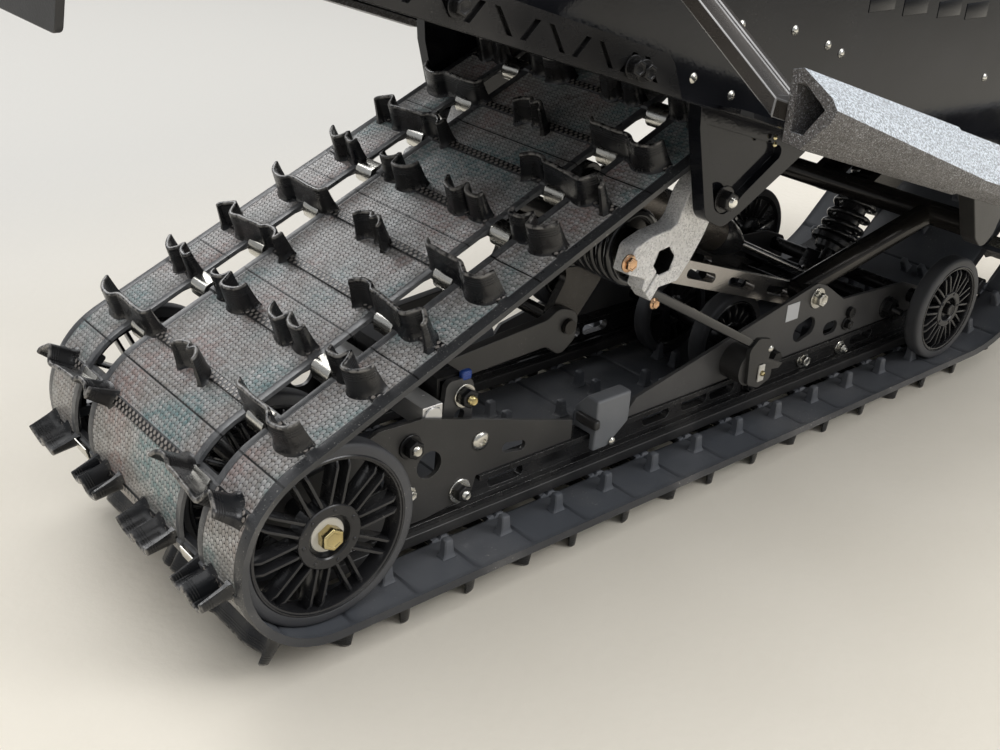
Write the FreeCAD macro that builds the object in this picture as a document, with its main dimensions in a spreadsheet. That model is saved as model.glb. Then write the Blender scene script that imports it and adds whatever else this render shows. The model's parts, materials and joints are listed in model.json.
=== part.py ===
"""Rear chassis of a snowmobile: tunnel, endless track, slide-rail suspension and wheels.

Millimetres. X runs forward, Y to the left, Z up, with the lug tips on Z = 0.
Stations are measured from the rear axle; one shift then centres the whole in X.
"""
import FreeCAD
import Part
import math
import os
import Sketcher
from FreeCAD import Placement, Rotation, Vector

os.makedirs("parts", exist_ok=True)
doc = FreeCAD.newDocument("RearChassis")

# Driving sizes

SIZES = [
    ("pitch_len", 72.644), ("pitch_count", 48), ("belt_width", 402), ("belt_thick", 8),
    ("lug_height", 29), ("rear_wheel_r", 90.5), ("front_wheel_r", 72), ("bogie_wheel_r", 60),
    ("carrier_r", 70), ("sprocket_r", 88.5), ("nose_r", 196), ("wheel_width", 22),
    ("rail_y", 112), ("rail_web", 9), ("rail_top", 98), ("runner_height", 13),
    ("runner_width", 38), ("flange_width", 26), ("plate_thick", 5), ("tunnel_half", 222),
    ("sheet_thick", 3), ("board_outer", 390), ("arm_thick", 22), ("coil_r", 36),
    ("wire_d", 10), ("coil_turns", 6), ("front_wheel_x", 981), ("bogie_x", 680),
    ("carrier_x", 625), ("drive_z", 400), ("tunnel_rear", 190), ("bumper_reach", 66),
    ("axle_r", 10), ("shock_r", 26), ("spring_r", 32), ("truss_height", 35),
]
sheet = doc.addObject("Spreadsheet::Sheet", "Sizes")
for row, (alias, value) in enumerate(SIZES, start=1):
    sheet.set("A%d" % row, alias)
    sheet.set("B%d" % row, str(value))
    sheet.setAlias("B%d" % row, alias)
doc.recompute()
D = {alias: float(value) for alias, value in SIZES}

# Fixed stations of the side view, from the rear axle: X and Z

IDLER_PIVOT = (432.0, 381.0)
HEX_TUBE = (384.0, 319.0)
SHOCK_REAR = (450.0, 345.0)
LINK_REAR = (432.0, 274.0)
LINK_FRONT = (838.0, 130.0)
ARM_WHEEL = (405.0, 256.0)
SHACKLE = (373.0, 207.0)
BAR_BRIGHT = (158.0, 181.0)
BAR_BLACK = (190.0, 195.0)
FRONT_PIVOT = (759.0, 168.0)
FRONT_SHAFT = (925.0, 117.0)
TORQUE_TUBE = (957.0, 250.0)
FRONT_EYE = (1060.0, 300.0)
CAM = (604.0, 124.0)
CAM_DRUM_R = 22.0
POST_BOLT = (204.0, 187.0)
POST_THICK = 7.0
POST_INNER = D["rail_y"] - D["rail_web"] / 2 - POST_THICK
BAR_WALL = 4.0
ARM_INNER = 168.0
BRACKET_INNER = 203.3
PIVOT_BOLT_R = 8.0
SPACER_R = 13.0
TRUSS_FRONT = 320.0
TUBE_WALL = 11.0
BOARD_TOP = 6.0
TRUSS_THICK = 9.0
GROOVE_PITCH = 55.3
GROOVE_WIDE = 6.0
GROOVE_DEEP = 5.0
BRACE_WIDE = 46.0
BRACE_THICK = 12.0
BLOCK_START = 367.0
BLOCK_LENGTH = 51.0
BLOCK_FOOT = 80.0
NOSE_X = 1040.0
RUNNER_GAP = 0.3
FIT = 0.3

# Heights are drawn over a belt whose inner face lies here; LIFT seats the lug tips on Z = 0.
floor_z = 49.0
LIFT = D["lug_height"] + D["belt_thick"] - floor_z


def belt_circles(drive_x):
    """Circles the inside of the belt wraps, in travel order: X, Z, radius."""
    rear = (0.0, floor_z + D["rear_wheel_r"], D["rear_wheel_r"])
    slope = math.radians(23.9)
    run_z = rear[1] + D["rear_wheel_r"] / math.cos(slope) + D["carrier_x"] * math.tan(slope)
    carrier = (D["carrier_x"], run_z - D["carrier_r"] / math.cos(slope), D["carrier_r"])
    drive = (drive_x, D["drive_z"], D["sprocket_r"])
    nose = (NOSE_X, floor_z + D["nose_r"], D["nose_r"])
    return [rear, carrier, drive, nose]


def belt_tangents(circles):
    """Outward normal angle of the straight run that leaves each circle."""
    angles = []
    for here, there in zip(circles, circles[1:] + circles[:1]):
        span = math.hypot(there[0] - here[0], there[1] - here[1])
        heading = math.atan2(there[1] - here[1], there[0] - here[0])
        angles.append(heading + math.acos((here[2] - there[2]) / span))
    return angles


def belt_pieces(circles, offset):
    """Arcs and lines of the loop at an offset: kind, length and placing data."""
    leave = belt_tangents(circles)
    pieces = []
    for k, (cx, cz, radius) in enumerate(circles):
        start = leave[k - 1]
        sweep = (start - leave[k]) % (2 * math.pi)
        pieces.append(("arc", (radius + offset) * sweep, (cx, cz, radius + offset, start, sweep)))
        nx, nz = math.cos(leave[k]), math.sin(leave[k])
        there = circles[(k + 1) % len(circles)]
        ax, az = cx + (radius + offset) * nx, cz + (radius + offset) * nz
        bx, bz = there[0] + (there[2] + offset) * nx, there[1] + (there[2] + offset) * nz
        pieces.append(("line", math.hypot(bx - ax, bz - az), (ax, az, bx, bz, leave[k])))
    return pieces


def loop_length(drive_x):
    """Length of the belt's middle layer for one drive shaft station."""
    return sum(piece[1] for piece in belt_pieces(belt_circles(drive_x), D["belt_thick"] / 2))


# The drive shaft stands where the loop holds a whole count of pitches.
low_x, high_x = 1150.0, 1900.0
for _ in range(60):
    drive_x = (low_x + high_x) / 2
    if loop_length(drive_x) < D["pitch_len"] * D["pitch_count"]:
        low_x = drive_x
    else:
        high_x = drive_x

CIRCLES = belt_circles(drive_x)
CARRIER = CIRCLES[1][:2]
DRIVE = CIRCLES[2][:2]
REAR_AXLE = CIRCLES[0][:2]
tunnel_front = drive_x + D["sprocket_r"] + D["belt_thick"] + D["lug_height"] + 12
rear_end = -D["tunnel_rear"] - D["bumper_reach"]
SHIFT = -(tunnel_front + rear_end) / 2
EDGE_SLOPE = 0.321
EDGE_START = 601.0
KNEE_X = 900.0
TOP_SLOPE = 0.072


def edge_z(x):
    """Height of the tunnel's lower edge at a station."""
    if x <= KNEE_X:
        return EDGE_START - EDGE_SLOPE * x
    return EDGE_START - EDGE_SLOPE * KNEE_X - 0.05 * (x - KNEE_X)


def top_z(x):
    """Height of the tunnel's top sheet at a station."""
    return 732.0 - TOP_SLOPE * x


def belt_point(distance, offset):
    """Point and outward normal on the loop, measured from the rear wheel's upper tangent."""
    pieces = belt_pieces(CIRCLES, D["belt_thick"] / 2)
    pieces = pieces[1:] + pieces[:1]
    total = sum(piece[1] for piece in pieces)
    left = distance % total
    for kind, length, data in pieces:
        if left <= length:
            break
        left -= length
    push = offset - D["belt_thick"] / 2
    if kind == "line":
        ax, az, bx, bz, normal = data
        t = left / length
        px, pz = ax + (bx - ax) * t, az + (bz - az) * t
    else:
        cx, cz, radius, start, sweep = data
        normal = start - sweep * left / length
        px, pz = cx + radius * math.cos(normal), cz + radius * math.sin(normal)
    nx, nz = math.cos(normal), math.sin(normal)
    return (px + push * nx, pz + push * nz), (nx, nz)


# Drawing helpers

LEAST_ROUND = 8.0
count = {"n": 0}
nodes = []


def bind(feature, prop, formula):
    """Tie a size of a feature to the sheet."""
    feature.setExpression(prop, formula)


def named(text):
    """A fresh internal name."""
    count["n"] += 1
    return "%s_%d" % (text, count["n"])


def new_body(label, x=0.0, y=0.0, z=0.0):
    """An empty body placed from the rear axle's station."""
    body = doc.addObject("PartDesign::Body", named("Body"))
    body.Label = label + "_body"
    body.AllowCompound = True
    body.Placement = Placement(Vector(SHIFT + x, y, LIFT + z), Rotation())
    return body


def origin_item(body, role):
    """A plane or an axis of the body's own origin."""
    return [item for item in body.Origin.OriginFeatures if item.Role == role][0]


def new_sketch(body, role, offset=0.0):
    """A sketch on one of the body's origin planes, moved along its normal."""
    sketch = body.newObject("Sketcher::SketchObject", named("Sketch"))
    sketch.AttachmentSupport = [(origin_item(body, role), "")]
    sketch.MapMode = "FlatFace"
    sketch.AttachmentOffset = Placement(Vector(0, 0, offset), Rotation())
    return sketch


def corner_cut(before, corner, after, radius):
    """Tangent points, centre and end angles of one rounded corner."""
    ux, uz = before[0] - corner[0], before[1] - corner[1]
    vx, vz = after[0] - corner[0], after[1] - corner[1]
    ul, vl = math.hypot(ux, uz), math.hypot(vx, vz)
    ux, uz, vx, vz = ux / ul, uz / ul, vx / vl, vz / vl
    half = math.acos(max(-1.0, min(1.0, ux * vx + uz * vz))) / 2
    reach = min(radius / math.tan(half), ul * 0.49, vl * 0.49)
    radius = reach * math.tan(half)
    first = (corner[0] + ux * reach, corner[1] + uz * reach)
    last = (corner[0] + vx * reach, corner[1] + vz * reach)
    depth = radius / math.sin(half)
    mx, mz = ux + vx, uz + vz
    ml = math.hypot(mx, mz)
    centre = (corner[0] + mx / ml * depth, corner[1] + mz / ml * depth)
    return first, last, centre, radius


def draw_arc(sketch, centre, radius, first, last):
    """The shorter arc between two points round a centre."""
    a0 = math.atan2(first[1] - centre[1], first[0] - centre[0])
    a1 = math.atan2(last[1] - centre[1], last[0] - centre[0])
    if (a1 - a0) % (2 * math.pi) > math.pi:
        a0, a1 = a1, a0
    circle = Part.Circle(Vector(centre[0], centre[1], 0), Vector(0, 0, 1), radius)
    sketch.addGeometry(Part.ArcOfCircle(circle, a0, a0 + (a1 - a0) % (2 * math.pi)), False)


def draw_line(sketch, first, last):
    """A straight edge."""
    start, end = Vector(first[0], first[1], 0), Vector(last[0], last[1], 0)
    sketch.addGeometry(Part.LineSegment(start, end), False)


def draw_outline(sketch, points):
    """A closed outline of X, Z and an optional corner radius."""
    total = len(points)
    ends = []
    for k, point in enumerate(points):
        radius = point[2] if len(point) > 2 else 0.0
        if radius >= LEAST_ROUND:
            before, after = points[k - 1], points[(k + 1) % total]
            first, last, centre, real = corner_cut(before, point, after, radius)
            draw_arc(sketch, centre, real, first, last)
            ends.append((first, last))
        else:
            ends.append((point[:2], point[:2]))
    for k in range(total):
        draw_line(sketch, ends[k][1], ends[(k + 1) % total][0])


def draw_circle(sketch, x, z, radius, formula=""):
    """A full circle, its radius tied to the sheet where a formula is given."""
    circle = Part.Circle(Vector(x, z, 0), Vector(0, 0, 1), radius)
    index = sketch.addGeometry(circle, False)
    if formula:
        dimension = sketch.addConstraint(Sketcher.Constraint("Radius", index, radius))
        bind(sketch, "Constraints[%d]" % dimension, formula)


def draw_slot(sketch, x0, z0, x1, z1, radius):
    """A slot with round ends."""
    length = math.hypot(x1 - x0, z1 - z0)
    ux, uz = (x1 - x0) / length, (z1 - z0) / length
    wx, wz = -uz * radius, ux * radius
    draw_line(sketch, (x0 + wx, z0 + wz), (x1 + wx, z1 + wz))
    draw_line(sketch, (x0 - wx, z0 - wz), (x1 - wx, z1 - wz))
    angle = math.atan2(uz, ux)
    for x, z, turn in ((x0, z0, angle + math.pi / 2), (x1, z1, angle - math.pi / 2)):
        circle = Part.Circle(Vector(x, z, 0), Vector(0, 0, 1), radius)
        sketch.addGeometry(Part.ArcOfCircle(circle, turn, turn + math.pi), False)


def pad(body, sketch, length, formula=""):
    """Material along the sketch's normal."""
    feature = body.newObject("PartDesign::Pad", named("Pad"))
    feature.Profile = sketch
    feature.Length = length
    if formula:
        bind(feature, "Length", formula)
    sketch.Visibility = False
    return feature


def pocket(body, sketch, length, formula=""):
    """Material taken away against the sketch's normal."""
    feature = body.newObject("PartDesign::Pocket", named("Pocket"))
    feature.Profile = sketch
    feature.Length = length
    if formula:
        bind(feature, "Length", formula)
    return feature


def revolve(body, sketch, axis="H_Axis"):
    """A full turn round one of the sketch's axes."""
    feature = body.newObject("PartDesign::Revolution", named("Revolution"))
    feature.Profile = sketch
    feature.ReferenceAxis = (sketch, [axis])
    feature.Angle = 360
    return feature


def ring_pattern(body, feature, number):
    """Copies of a feature round the body's Y axis."""
    pattern = body.newObject("PartDesign::PolarPattern", named("Pattern"))
    pattern.Originals = [feature]
    pattern.Axis = (origin_item(body, "Y_Axis"), [""])
    pattern.Angle = 360
    pattern.Occurrences = number
    body.Tip = pattern
    return pattern


def round_rod(body, x, z, radius, y_from, y_to, formula=""):
    """A cross rod between two lateral stations, the second the further left."""
    sketch = new_sketch(body, "XZ_Plane", -y_to)
    draw_circle(sketch, x, z, radius, formula)
    return pad(body, sketch, y_to - y_from)


def finish(label, *objects):
    """One named node from its bodies."""
    if len(objects) == 1:
        node = objects[0]
    else:
        node = doc.addObject("Part::Compound", named("Node"))
        node.Links = list(objects)
    node.Label = label
    nodes.append((label, node))


def mirrored(item):
    """The same piece on the left side."""
    mirror = doc.addObject("Part::Mirroring", named("Mirror"))
    mirror.Source = item
    mirror.Normal = Vector(0, 1, 0)
    return mirror


def finish_pair(label, *objects):
    """One named node from right-hand bodies and their mirror images."""
    finish(label, *[piece for item in objects for piece in (item, mirrored(item))])


# Track

FIRST_ROW = 22.5
LUG_FOOT = 9.0
LUG_TIP = 4.0
LUG_ROOT = 1.5
BELT_SPLITS = (98.0, 128.0)
BRIDGE_BACK = 18.0
BRIDGE_FRONT = 8.0
BRIDGE_LAP = 2.0
BRIDGE_INSET = 1.6
# Lugs of three rows in turn: which row, nearest and farthest lateral station.
LUG_ROWS = [(0, -34.0, 34.0), (0, 86.0, 188.0), (0, -188.0, -86.0),
            (1, 30.0, 88.0), (1, -88.0, -30.0), (1, 132.0, 188.0), (1, -188.0, -132.0),
            (2, 52.0, 188.0), (2, -188.0, -52.0)]
ROWS_IN_TURN = 3


def draw_belt(sketch, offset):
    """The closed loop at an offset from its inner face."""
    for kind, _, data in belt_pieces(CIRCLES, offset):
        if kind == "line":
            draw_line(sketch, data[:2], data[2:4])
        else:
            cx, cz, radius, start, sweep = data
            circle = Part.Circle(Vector(cx, cz, 0), Vector(0, 0, 1), radius)
            sketch.addGeometry(Part.ArcOfCircle(circle, start - sweep, start), False)


def loop_quad(distance, back, front, low, high):
    """Four corners of a block across the belt, from its inner face outward."""
    corners = []
    for step, offset in ((-back, low), (front, low), (front, high), (-back, high)):
        (px, pz), _ = belt_point(distance + step, offset)
        corners.append((px, pz))
    return corners


def draw_lugs(sketch, row_kind):
    """Every third lug of the loop as a tapered bar."""
    for row_index in range(row_kind, int(D["pitch_count"]), ROWS_IN_TURN):
        distance = FIRST_ROW + row_index * D["pitch_len"]
        (px, pz), (nx, nz) = belt_point(distance, D["belt_thick"] - LUG_ROOT)
        tall = D["lug_height"] + LUG_ROOT
        tx, tz = nz, -nx
        draw_outline(sketch, [
            (px - tx * LUG_FOOT, pz - tz * LUG_FOOT), (px + tx * LUG_FOOT, pz + tz * LUG_FOOT),
            (px + nx * tall + tx * LUG_TIP, pz + nz * tall + tz * LUG_TIP),
            (px + nx * tall - tx * LUG_TIP, pz + nz * tall - tz * LUG_TIP)])


def build_track():
    """Three belts joined by a bridge at every row, with staggered cross lugs, as one loop."""
    body = new_body("track")
    half = D["belt_width"] / 2
    near, far = BELT_SPLITS
    for low, high in ((-near, near), (far, half), (-half, -far)):
        sketch = new_sketch(body, "XZ_Plane", -high)
        draw_belt(sketch, D["belt_thick"])
        draw_belt(sketch, 0.0)
        pad(body, sketch, high - low)
    for low in (near - BRIDGE_LAP, -far - BRIDGE_LAP):
        sketch = new_sketch(body, "XZ_Plane", low)
        for row_index in range(int(D["pitch_count"])):
            distance = FIRST_ROW + row_index * D["pitch_len"]
            draw_outline(sketch, loop_quad(
                distance, BRIDGE_BACK, BRIDGE_FRONT, BRIDGE_INSET, D["belt_thick"] - BRIDGE_INSET))
        bridge = pad(body, sketch, far - near + 2 * BRIDGE_LAP)
        bridge.Reversed = True
    for row_kind, low, high in LUG_ROWS:
        sketch = new_sketch(body, "XZ_Plane", -high)
        draw_lugs(sketch, row_kind)
        pad(body, sketch, high - low)
    finish("track", body)


# Wheels

BOGIE_AXLE_R = 8.0

SPOKE_GAP = 6.2
SPOKE_BLADE = 1.6


def draw_spoke(sketch, near, far, paired):
    """One broad tapered spoke, or a pair of thin blades side by side."""
    if paired:
        for side in (-1, 1):
            inner, outer = side * (SPOKE_GAP - SPOKE_BLADE), side * (SPOKE_GAP + SPOKE_BLADE)
            draw_outline(sketch, [(inner, near), (outer, near), (outer, far), (inner, far)])
    else:
        draw_outline(sketch, [(-5.0, near), (5.0, near), (7.5, far), (-7.5, far)])


def build_wheel(label, radius, x, z, y, spokes, bore, paired=False):
    """A tyred wheel with a hub ring and its spokes, centred on its own axis."""
    half = D["wheel_width"] / 2
    body = new_body(label, x, y, z)
    sketch = new_sketch(body, "YZ_Plane")
    rim = radius - 13
    hub = 33.0 if paired and radius > 80 else 22.0
    draw_outline(sketch, [(-half, rim), (-half + 1.5, radius), (half - 1.5, radius), (half, rim)])
    revolve(body, sketch)
    sketch = new_sketch(body, "YZ_Plane")
    draw_outline(sketch, [(-half + 3, bore), (half, bore), (half, hub), (-half + 3, hub)])
    revolve(body, sketch)
    sketch = new_sketch(body, "XZ_Plane", -half + 4)
    near, far = hub - 3, rim + 2
    draw_spoke(sketch, near, far, paired)
    spoke = pad(body, sketch, D["wheel_width"] - 9)
    ring_pattern(body, spoke, spokes)
    return body


def build_wheels():
    """Every idler wheel of the suspension and the two carrier wheels."""
    outer_y = -171.0
    axle_bore = D["axle_r"] + FIT
    finish_pair("rear_wheels", build_wheel(
        "rear_wheel", D["rear_wheel_r"] - FIT, REAR_AXLE[0], REAR_AXLE[1], outer_y, 10, axle_bore,
        True))
    finish_pair("rear_wheels_inner", build_wheel(
        "rear_wheel_inner", D["rear_wheel_r"] - FIT, REAR_AXLE[0], REAR_AXLE[1], -62.0, 6,
        axle_bore))
    finish_pair("front_wheels", build_wheel(
        "front_wheel", D["front_wheel_r"] - FIT, D["front_wheel_x"],
        floor_z + D["front_wheel_r"], outer_y, 9, axle_bore, True))
    finish_pair("bogie_wheels", build_wheel(
        "bogie_wheel", D["bogie_wheel_r"] - FIT, D["bogie_x"],
        floor_z + D["bogie_wheel_r"], -48.0, 6, BOGIE_AXLE_R + FIT))
    finish_pair("carrier_wheels", build_wheel(
        "carrier_wheel", D["carrier_r"] - FIT, CARRIER[0], CARRIER[1], -95.0, 6, axle_bore))
    finish_pair("arm_wheels", build_wheel(
        "arm_wheel", 48.0, ARM_WHEEL[0], ARM_WHEEL[1], -24.0, 6, axle_bore))


# Axles

HEAD_R = 13.0


def build_axle(label, x, z, half, radius, head, formula=""):
    """A cross axle with a hexagon head on a washer at both ends."""
    body = new_body(label)
    round_rod(body, x, z, radius, -half, half, formula)
    for y_from, y_to in ((-half - 3, -half), (half, half + 3)):
        round_rod(body, x, z, head + 1.5, y_from, y_to)
    for y_from, y_to in ((-half - 12, -half - 3), (half + 3, half + 12)):
        sketch = new_sketch(body, "XZ_Plane", -y_to)
        draw_outline(sketch, [(x + head * math.cos(math.radians(60 * k)),
                               z + head * math.sin(math.radians(60 * k)))
                              for k in range(6)])
        pad(body, sketch, y_to - y_from)
    return body


def build_axles():
    """Axles of the idler wheels and the carrier wheels."""
    wheel_end = 171.0 + D["wheel_width"] / 2 - 3
    plate_face = D["rail_y"] + D["rail_web"] / 2 + D["plate_thick"]
    radius, head, formula = D["axle_r"], HEAD_R, "Sizes.axle_r"
    finish("rear_axle", build_axle(
        "rear_axle", REAR_AXLE[0], REAR_AXLE[1], wheel_end, radius, head, formula))
    finish("front_axle", build_axle(
        "front_axle", D["front_wheel_x"], floor_z + D["front_wheel_r"], wheel_end,
        radius, head, formula))
    finish("bogie_axle", build_axle(
        "bogie_axle", D["bogie_x"], floor_z + D["bogie_wheel_r"], plate_face + 0.2,
        BOGIE_AXLE_R, BOGIE_AXLE_R + 0.8))
    finish("carrier_axle", build_axle(
        "carrier_axle", CARRIER[0], CARRIER[1], D["tunnel_half"] + 0.2, radius, head, formula))
    finish("cross_shaft", build_axle(
        "cross_shaft", FRONT_SHAFT[0], FRONT_SHAFT[1], plate_face + 0.2, radius, head, formula))


# Slide rails

NOSE_TURN = belt_tangents(CIRCLES)[2] + math.pi / 2 - math.radians(2.5)


def nose_point(radius, turn):
    """Point on the rail's upturned nose."""
    return (NOSE_X + radius * math.sin(turn), floor_z + D["nose_r"] - radius * math.cos(turn))


def draw_strip(sketch, low, high, rear_x, turn):
    """A strip that follows the bottom run and the nose, low and high above the belt."""
    outer, inner = D["nose_r"] - low, D["nose_r"] - high
    centre = (NOSE_X, floor_z + D["nose_r"])
    draw_line(sketch, (rear_x, floor_z + low), (NOSE_X, floor_z + low))
    draw_arc(sketch, centre, outer, (NOSE_X, floor_z + low), nose_point(outer, turn))
    draw_line(sketch, nose_point(outer, turn), nose_point(inner, turn))
    draw_arc(sketch, centre, inner, nose_point(inner, turn), (NOSE_X, floor_z + high))
    draw_line(sketch, (NOSE_X, floor_z + high), (rear_x, floor_z + high))
    draw_line(sketch, (rear_x, floor_z + high), (rear_x, floor_z + low))


def build_rail():
    """Extruded rail with top and bottom flanges and lightening slots in its web."""
    low = RUNNER_GAP + D["runner_height"] + 0.2
    high = D["rail_top"] - floor_z
    flange = 6.0
    body = new_body("slide_rail")
    inner = D["rail_y"] - D["rail_web"] / 2
    sketch = new_sketch(body, "XZ_Plane", inner)
    draw_strip(sketch, low, high, -2.0, NOSE_TURN)
    pad(body, sketch, D["rail_web"], "Sizes.rail_web")
    for bottom, top, rear_x in ((low, low + flange, -2.0), (high - flange, high, 215.0)):
        sketch = new_sketch(body, "XZ_Plane", D["rail_y"] - D["flange_width"] / 2)
        draw_strip(sketch, bottom, top, rear_x, NOSE_TURN)
        pad(body, sketch, D["flange_width"], "Sizes.flange_width")
    middle = floor_z + (low + high) / 2
    sketch = new_sketch(body, "XZ_Plane", inner + D["rail_web"])
    for start, length in ((40, 44), (110, 34), (240, 34), (470, 30), (536, 30), (586, 30),
                          (868, 34)):
        draw_slot(sketch, start, middle, start + length, middle, 7.5)
    pocket(body, sketch, D["rail_web"], "Sizes.rail_web")
    finish_pair("slide_rails", body)


def build_runner():
    """Replaceable sliding strip under a rail."""
    body = new_body("slide_runner")
    sketch = new_sketch(body, "XZ_Plane", D["rail_y"] - D["runner_width"] / 2)
    draw_strip(sketch, RUNNER_GAP, RUNNER_GAP + D["runner_height"], -4.0,
               NOSE_TURN + math.radians(1.0))
    pad(body, sketch, D["runner_width"], "Sizes.runner_width")
    finish_pair("slide_runners", body)


# Side plates of the rails


def build_rear_plate():
    """Dark plate that carries the rear axle and the two cross bars."""
    body = new_body("rear_plate")
    start = D["rail_y"] + D["rail_web"] / 2
    foot = D["rail_top"] + 0.2
    sketch = new_sketch(body, "XZ_Plane", start)
    draw_outline(sketch, [
        (-30, 122, 14), (-28, 158, 14), (52, 170, 20), (92, 187, 10), (144, 185, 8),
        (344.5, 121, 2), (344.5, foot, 2), (212, foot, 3), (206, 78, 4), (150, 70, 8),
        (20, 70, 12)])
    draw_circle(sketch, REAR_AXLE[0], REAR_AXLE[1], D["axle_r"] + FIT)
    draw_slot(sketch, 252, 118, 272, 114, 6)
    draw_circle(sketch, 152, 131, 15)
    draw_slot(sketch, 48, 128, 92, 128, 10)
    pad(body, sketch, D["plate_thick"], "Sizes.plate_thick")
    outer = start + D["plate_thick"]
    for x, z, radius, length in ((128, 160, 10, 14), (216, 138, 9.5, 4), (191, 88, 8.5, 12)):
        sketch = new_sketch(body, "XZ_Plane", outer - 1)
        draw_circle(sketch, x, z, radius)
        pad(body, sketch, length + 1)
    finish_pair("rear_plates", body)


def build_front_plate():
    """Long dark plate that carries the bogie axle, the front arm and the links."""
    body = new_body("front_plate")
    start = D["rail_y"] + D["rail_web"] / 2
    sketch = new_sketch(body, "XZ_Plane", start)
    foot = D["rail_top"] + 0.2
    draw_outline(sketch, [
        (424, foot, 3), (442, 119, 6), (757, 188, 10), (778, 180, 8), (820, 152, 12),
        (960, 144, 14), (1004, 128, 12), (1004, foot, 4)])
    draw_slot(sketch, 735, 126, 752, 130, 13)
    draw_slot(sketch, 795, 116, 806, 116, 9)
    draw_circle(sketch, D["bogie_x"], floor_z + D["bogie_wheel_r"], BOGIE_AXLE_R + FIT)
    draw_circle(sketch, LINK_FRONT[0], LINK_FRONT[1], 7.3)
    draw_circle(sketch, FRONT_SHAFT[0], FRONT_SHAFT[1], D["axle_r"] + FIT)
    draw_circle(sketch, D["front_wheel_x"], floor_z + D["front_wheel_r"], D["axle_r"] + FIT)
    pad(body, sketch, D["plate_thick"], "Sizes.plate_thick")
    finish_pair("front_plates", body)


# Cross bars and posts


def build_cross_bars():
    """A bright box extrusion between the rear plates and a black one between the posts."""
    to_plates = D["rail_y"] + D["rail_web"] / 2
    for label, (x, z), size, reach in (("bright_cross_bar", BAR_BRIGHT, 24.0, to_plates),
                                       ("black_cross_bar", BAR_BLACK, 30.0, POST_INNER - 0.2)):
        body = new_body(label)
        sketch = new_sketch(body, "XZ_Plane", -reach)
        for half, radius in ((size / 2, 4.0), (size / 2 - BAR_WALL, 2.0)):
            draw_outline(sketch, [(x - half, z - half, radius), (x + half, z - half, radius),
                                  (x + half, z + half, radius), (x - half, z + half, radius)])
        pad(body, sketch, 2 * reach)
        finish(label, body)


def build_post():
    """Small upright bracket on the rail with a bolt and an oval hole."""
    body = new_body("post_bracket")
    bx, bz = POST_BOLT
    foot = D["rail_top"] + 0.2
    sketch = new_sketch(body, "XZ_Plane", POST_INNER)
    draw_outline(sketch, [(bx - 30, foot, 2), (bx + 18, foot, 2), (bx + 11, bz - 24, 8),
                          (bx + 12, bz + 19, 12), (bx - 22, bz + 20, 8), (bx - 27, bz - 20, 4)])
    draw_slot(sketch, bx - 8, bz - 27, bx - 5, bz - 20, 6)
    pad(body, sketch, POST_THICK)
    sketch = new_sketch(body, "XZ_Plane", POST_INNER + POST_THICK - 1)
    draw_circle(sketch, bx, bz, 7.5)
    pad(body, sketch, 18)
    finish_pair("post_brackets", body)


# Rear arm, springs and rear shock


def build_idler_arm():
    """Cast lever with a hexagon hole, a clamp slit and a pivot boss."""
    body = new_body("idler_arm")
    start = ARM_INNER
    px, pz = IDLER_PIVOT
    hx, hz = HEX_TUBE
    sketch = new_sketch(body, "XZ_Plane", start)
    draw_outline(sketch, [
        (px - 23, pz + 4, 20), (px - 6, pz + 23, 18), (px + 20, pz + 14, 16),
        (px + 22, pz - 14, 20), (px + 6, pz - 46, 16), (hx + 38, hz - 8, 10),
        (hx + 22, hz - 26, 8), (hx - 4, hz - 27, 4), (hx - 14, hz - 40, 3),
        (hx - 28, hz - 24, 2), (hx - 25, hz - 14, 1), (hx - 50, hz - 4, 5),
        (hx - 44, hz + 22, 10), (hx - 20, hz + 30, 14), (hx + 12, hz + 34, 16)])
    draw_outline(sketch, [(hx + 15 * math.cos(math.radians(60 * k + 8)),
                           hz + 15 * math.sin(math.radians(60 * k + 8))) for k in range(6)])
    draw_circle(sketch, px, pz, PIVOT_BOLT_R + FIT)
    pad(body, sketch, D["arm_thick"], "Sizes.arm_thick")
    sketch = new_sketch(body, "XZ_Plane", start + D["arm_thick"])
    draw_slot(sketch, hx - 8, hz - 10, hx - 26, hz - 34, 1.2)
    pocket(body, sketch, D["arm_thick"], "Sizes.arm_thick")
    finish_pair("idler_arms", body)


def build_rear_arm():
    """Cross tube with boomerang plates, spring sleeves and the shock lever."""
    hx, hz = HEX_TUBE
    sx, sz = SHACKLE
    wx, wz = ARM_WHEEL
    body = new_body("rear_arm")
    sketch = new_sketch(body, "XZ_Plane", 0.2 - ARM_INNER)
    draw_circle(sketch, hx, hz, 19)
    pad(body, sketch, ARM_INNER - 0.2 - 60)
    sketch = new_sketch(body, "XZ_Plane", 60.0)
    draw_circle(sketch, hx, hz, 19)
    pad(body, sketch, ARM_INNER - 0.2 - 60)
    round_rod(body, hx, hz, 12, -62, 62)
    sleeve = D["coil_r"] - D["wire_d"] / 2 - FIT
    for offset in (-140.0, 72.0):
        sketch = new_sketch(body, "XZ_Plane", offset)
        draw_circle(sketch, hx, hz, sleeve)
        pad(body, sketch, 68)
    lx, lz = LINK_REAR
    qx, qz = SHOCK_REAR
    for offset in (-60.0, 50.0):
        sketch = new_sketch(body, "XZ_Plane", offset)
        draw_outline(sketch, [
            (hx - 26, hz + 8, 20), (hx, hz + 30, 20), (qx + 2, qz + 14, 12),
            (qx + 14, qz - 8, 12), (hx + 40, hz - 14, 10), (lx + 14, lz + 6, 12),
            (lx + 10, lz - 14, 12), (wx + 20, wz - 18, 20), (sx + 22, sz - 4, 16),
            (sx + 8, sz - 20, 16), (sx - 18, sz - 12, 16), (sx - 16, sz + 14, 12),
            (wx - 26, wz + 2, 20)])
        pad(body, sketch, 10)
    for (x, z), radius in ((SHOCK_REAR, 10.0), (ARM_WHEEL, D["axle_r"])):
        round_rod(body, x, z, radius, -52, 52)
    round_rod(body, sx, sz, 8, -78, 78)
    finish("rear_arm", body)


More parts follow.
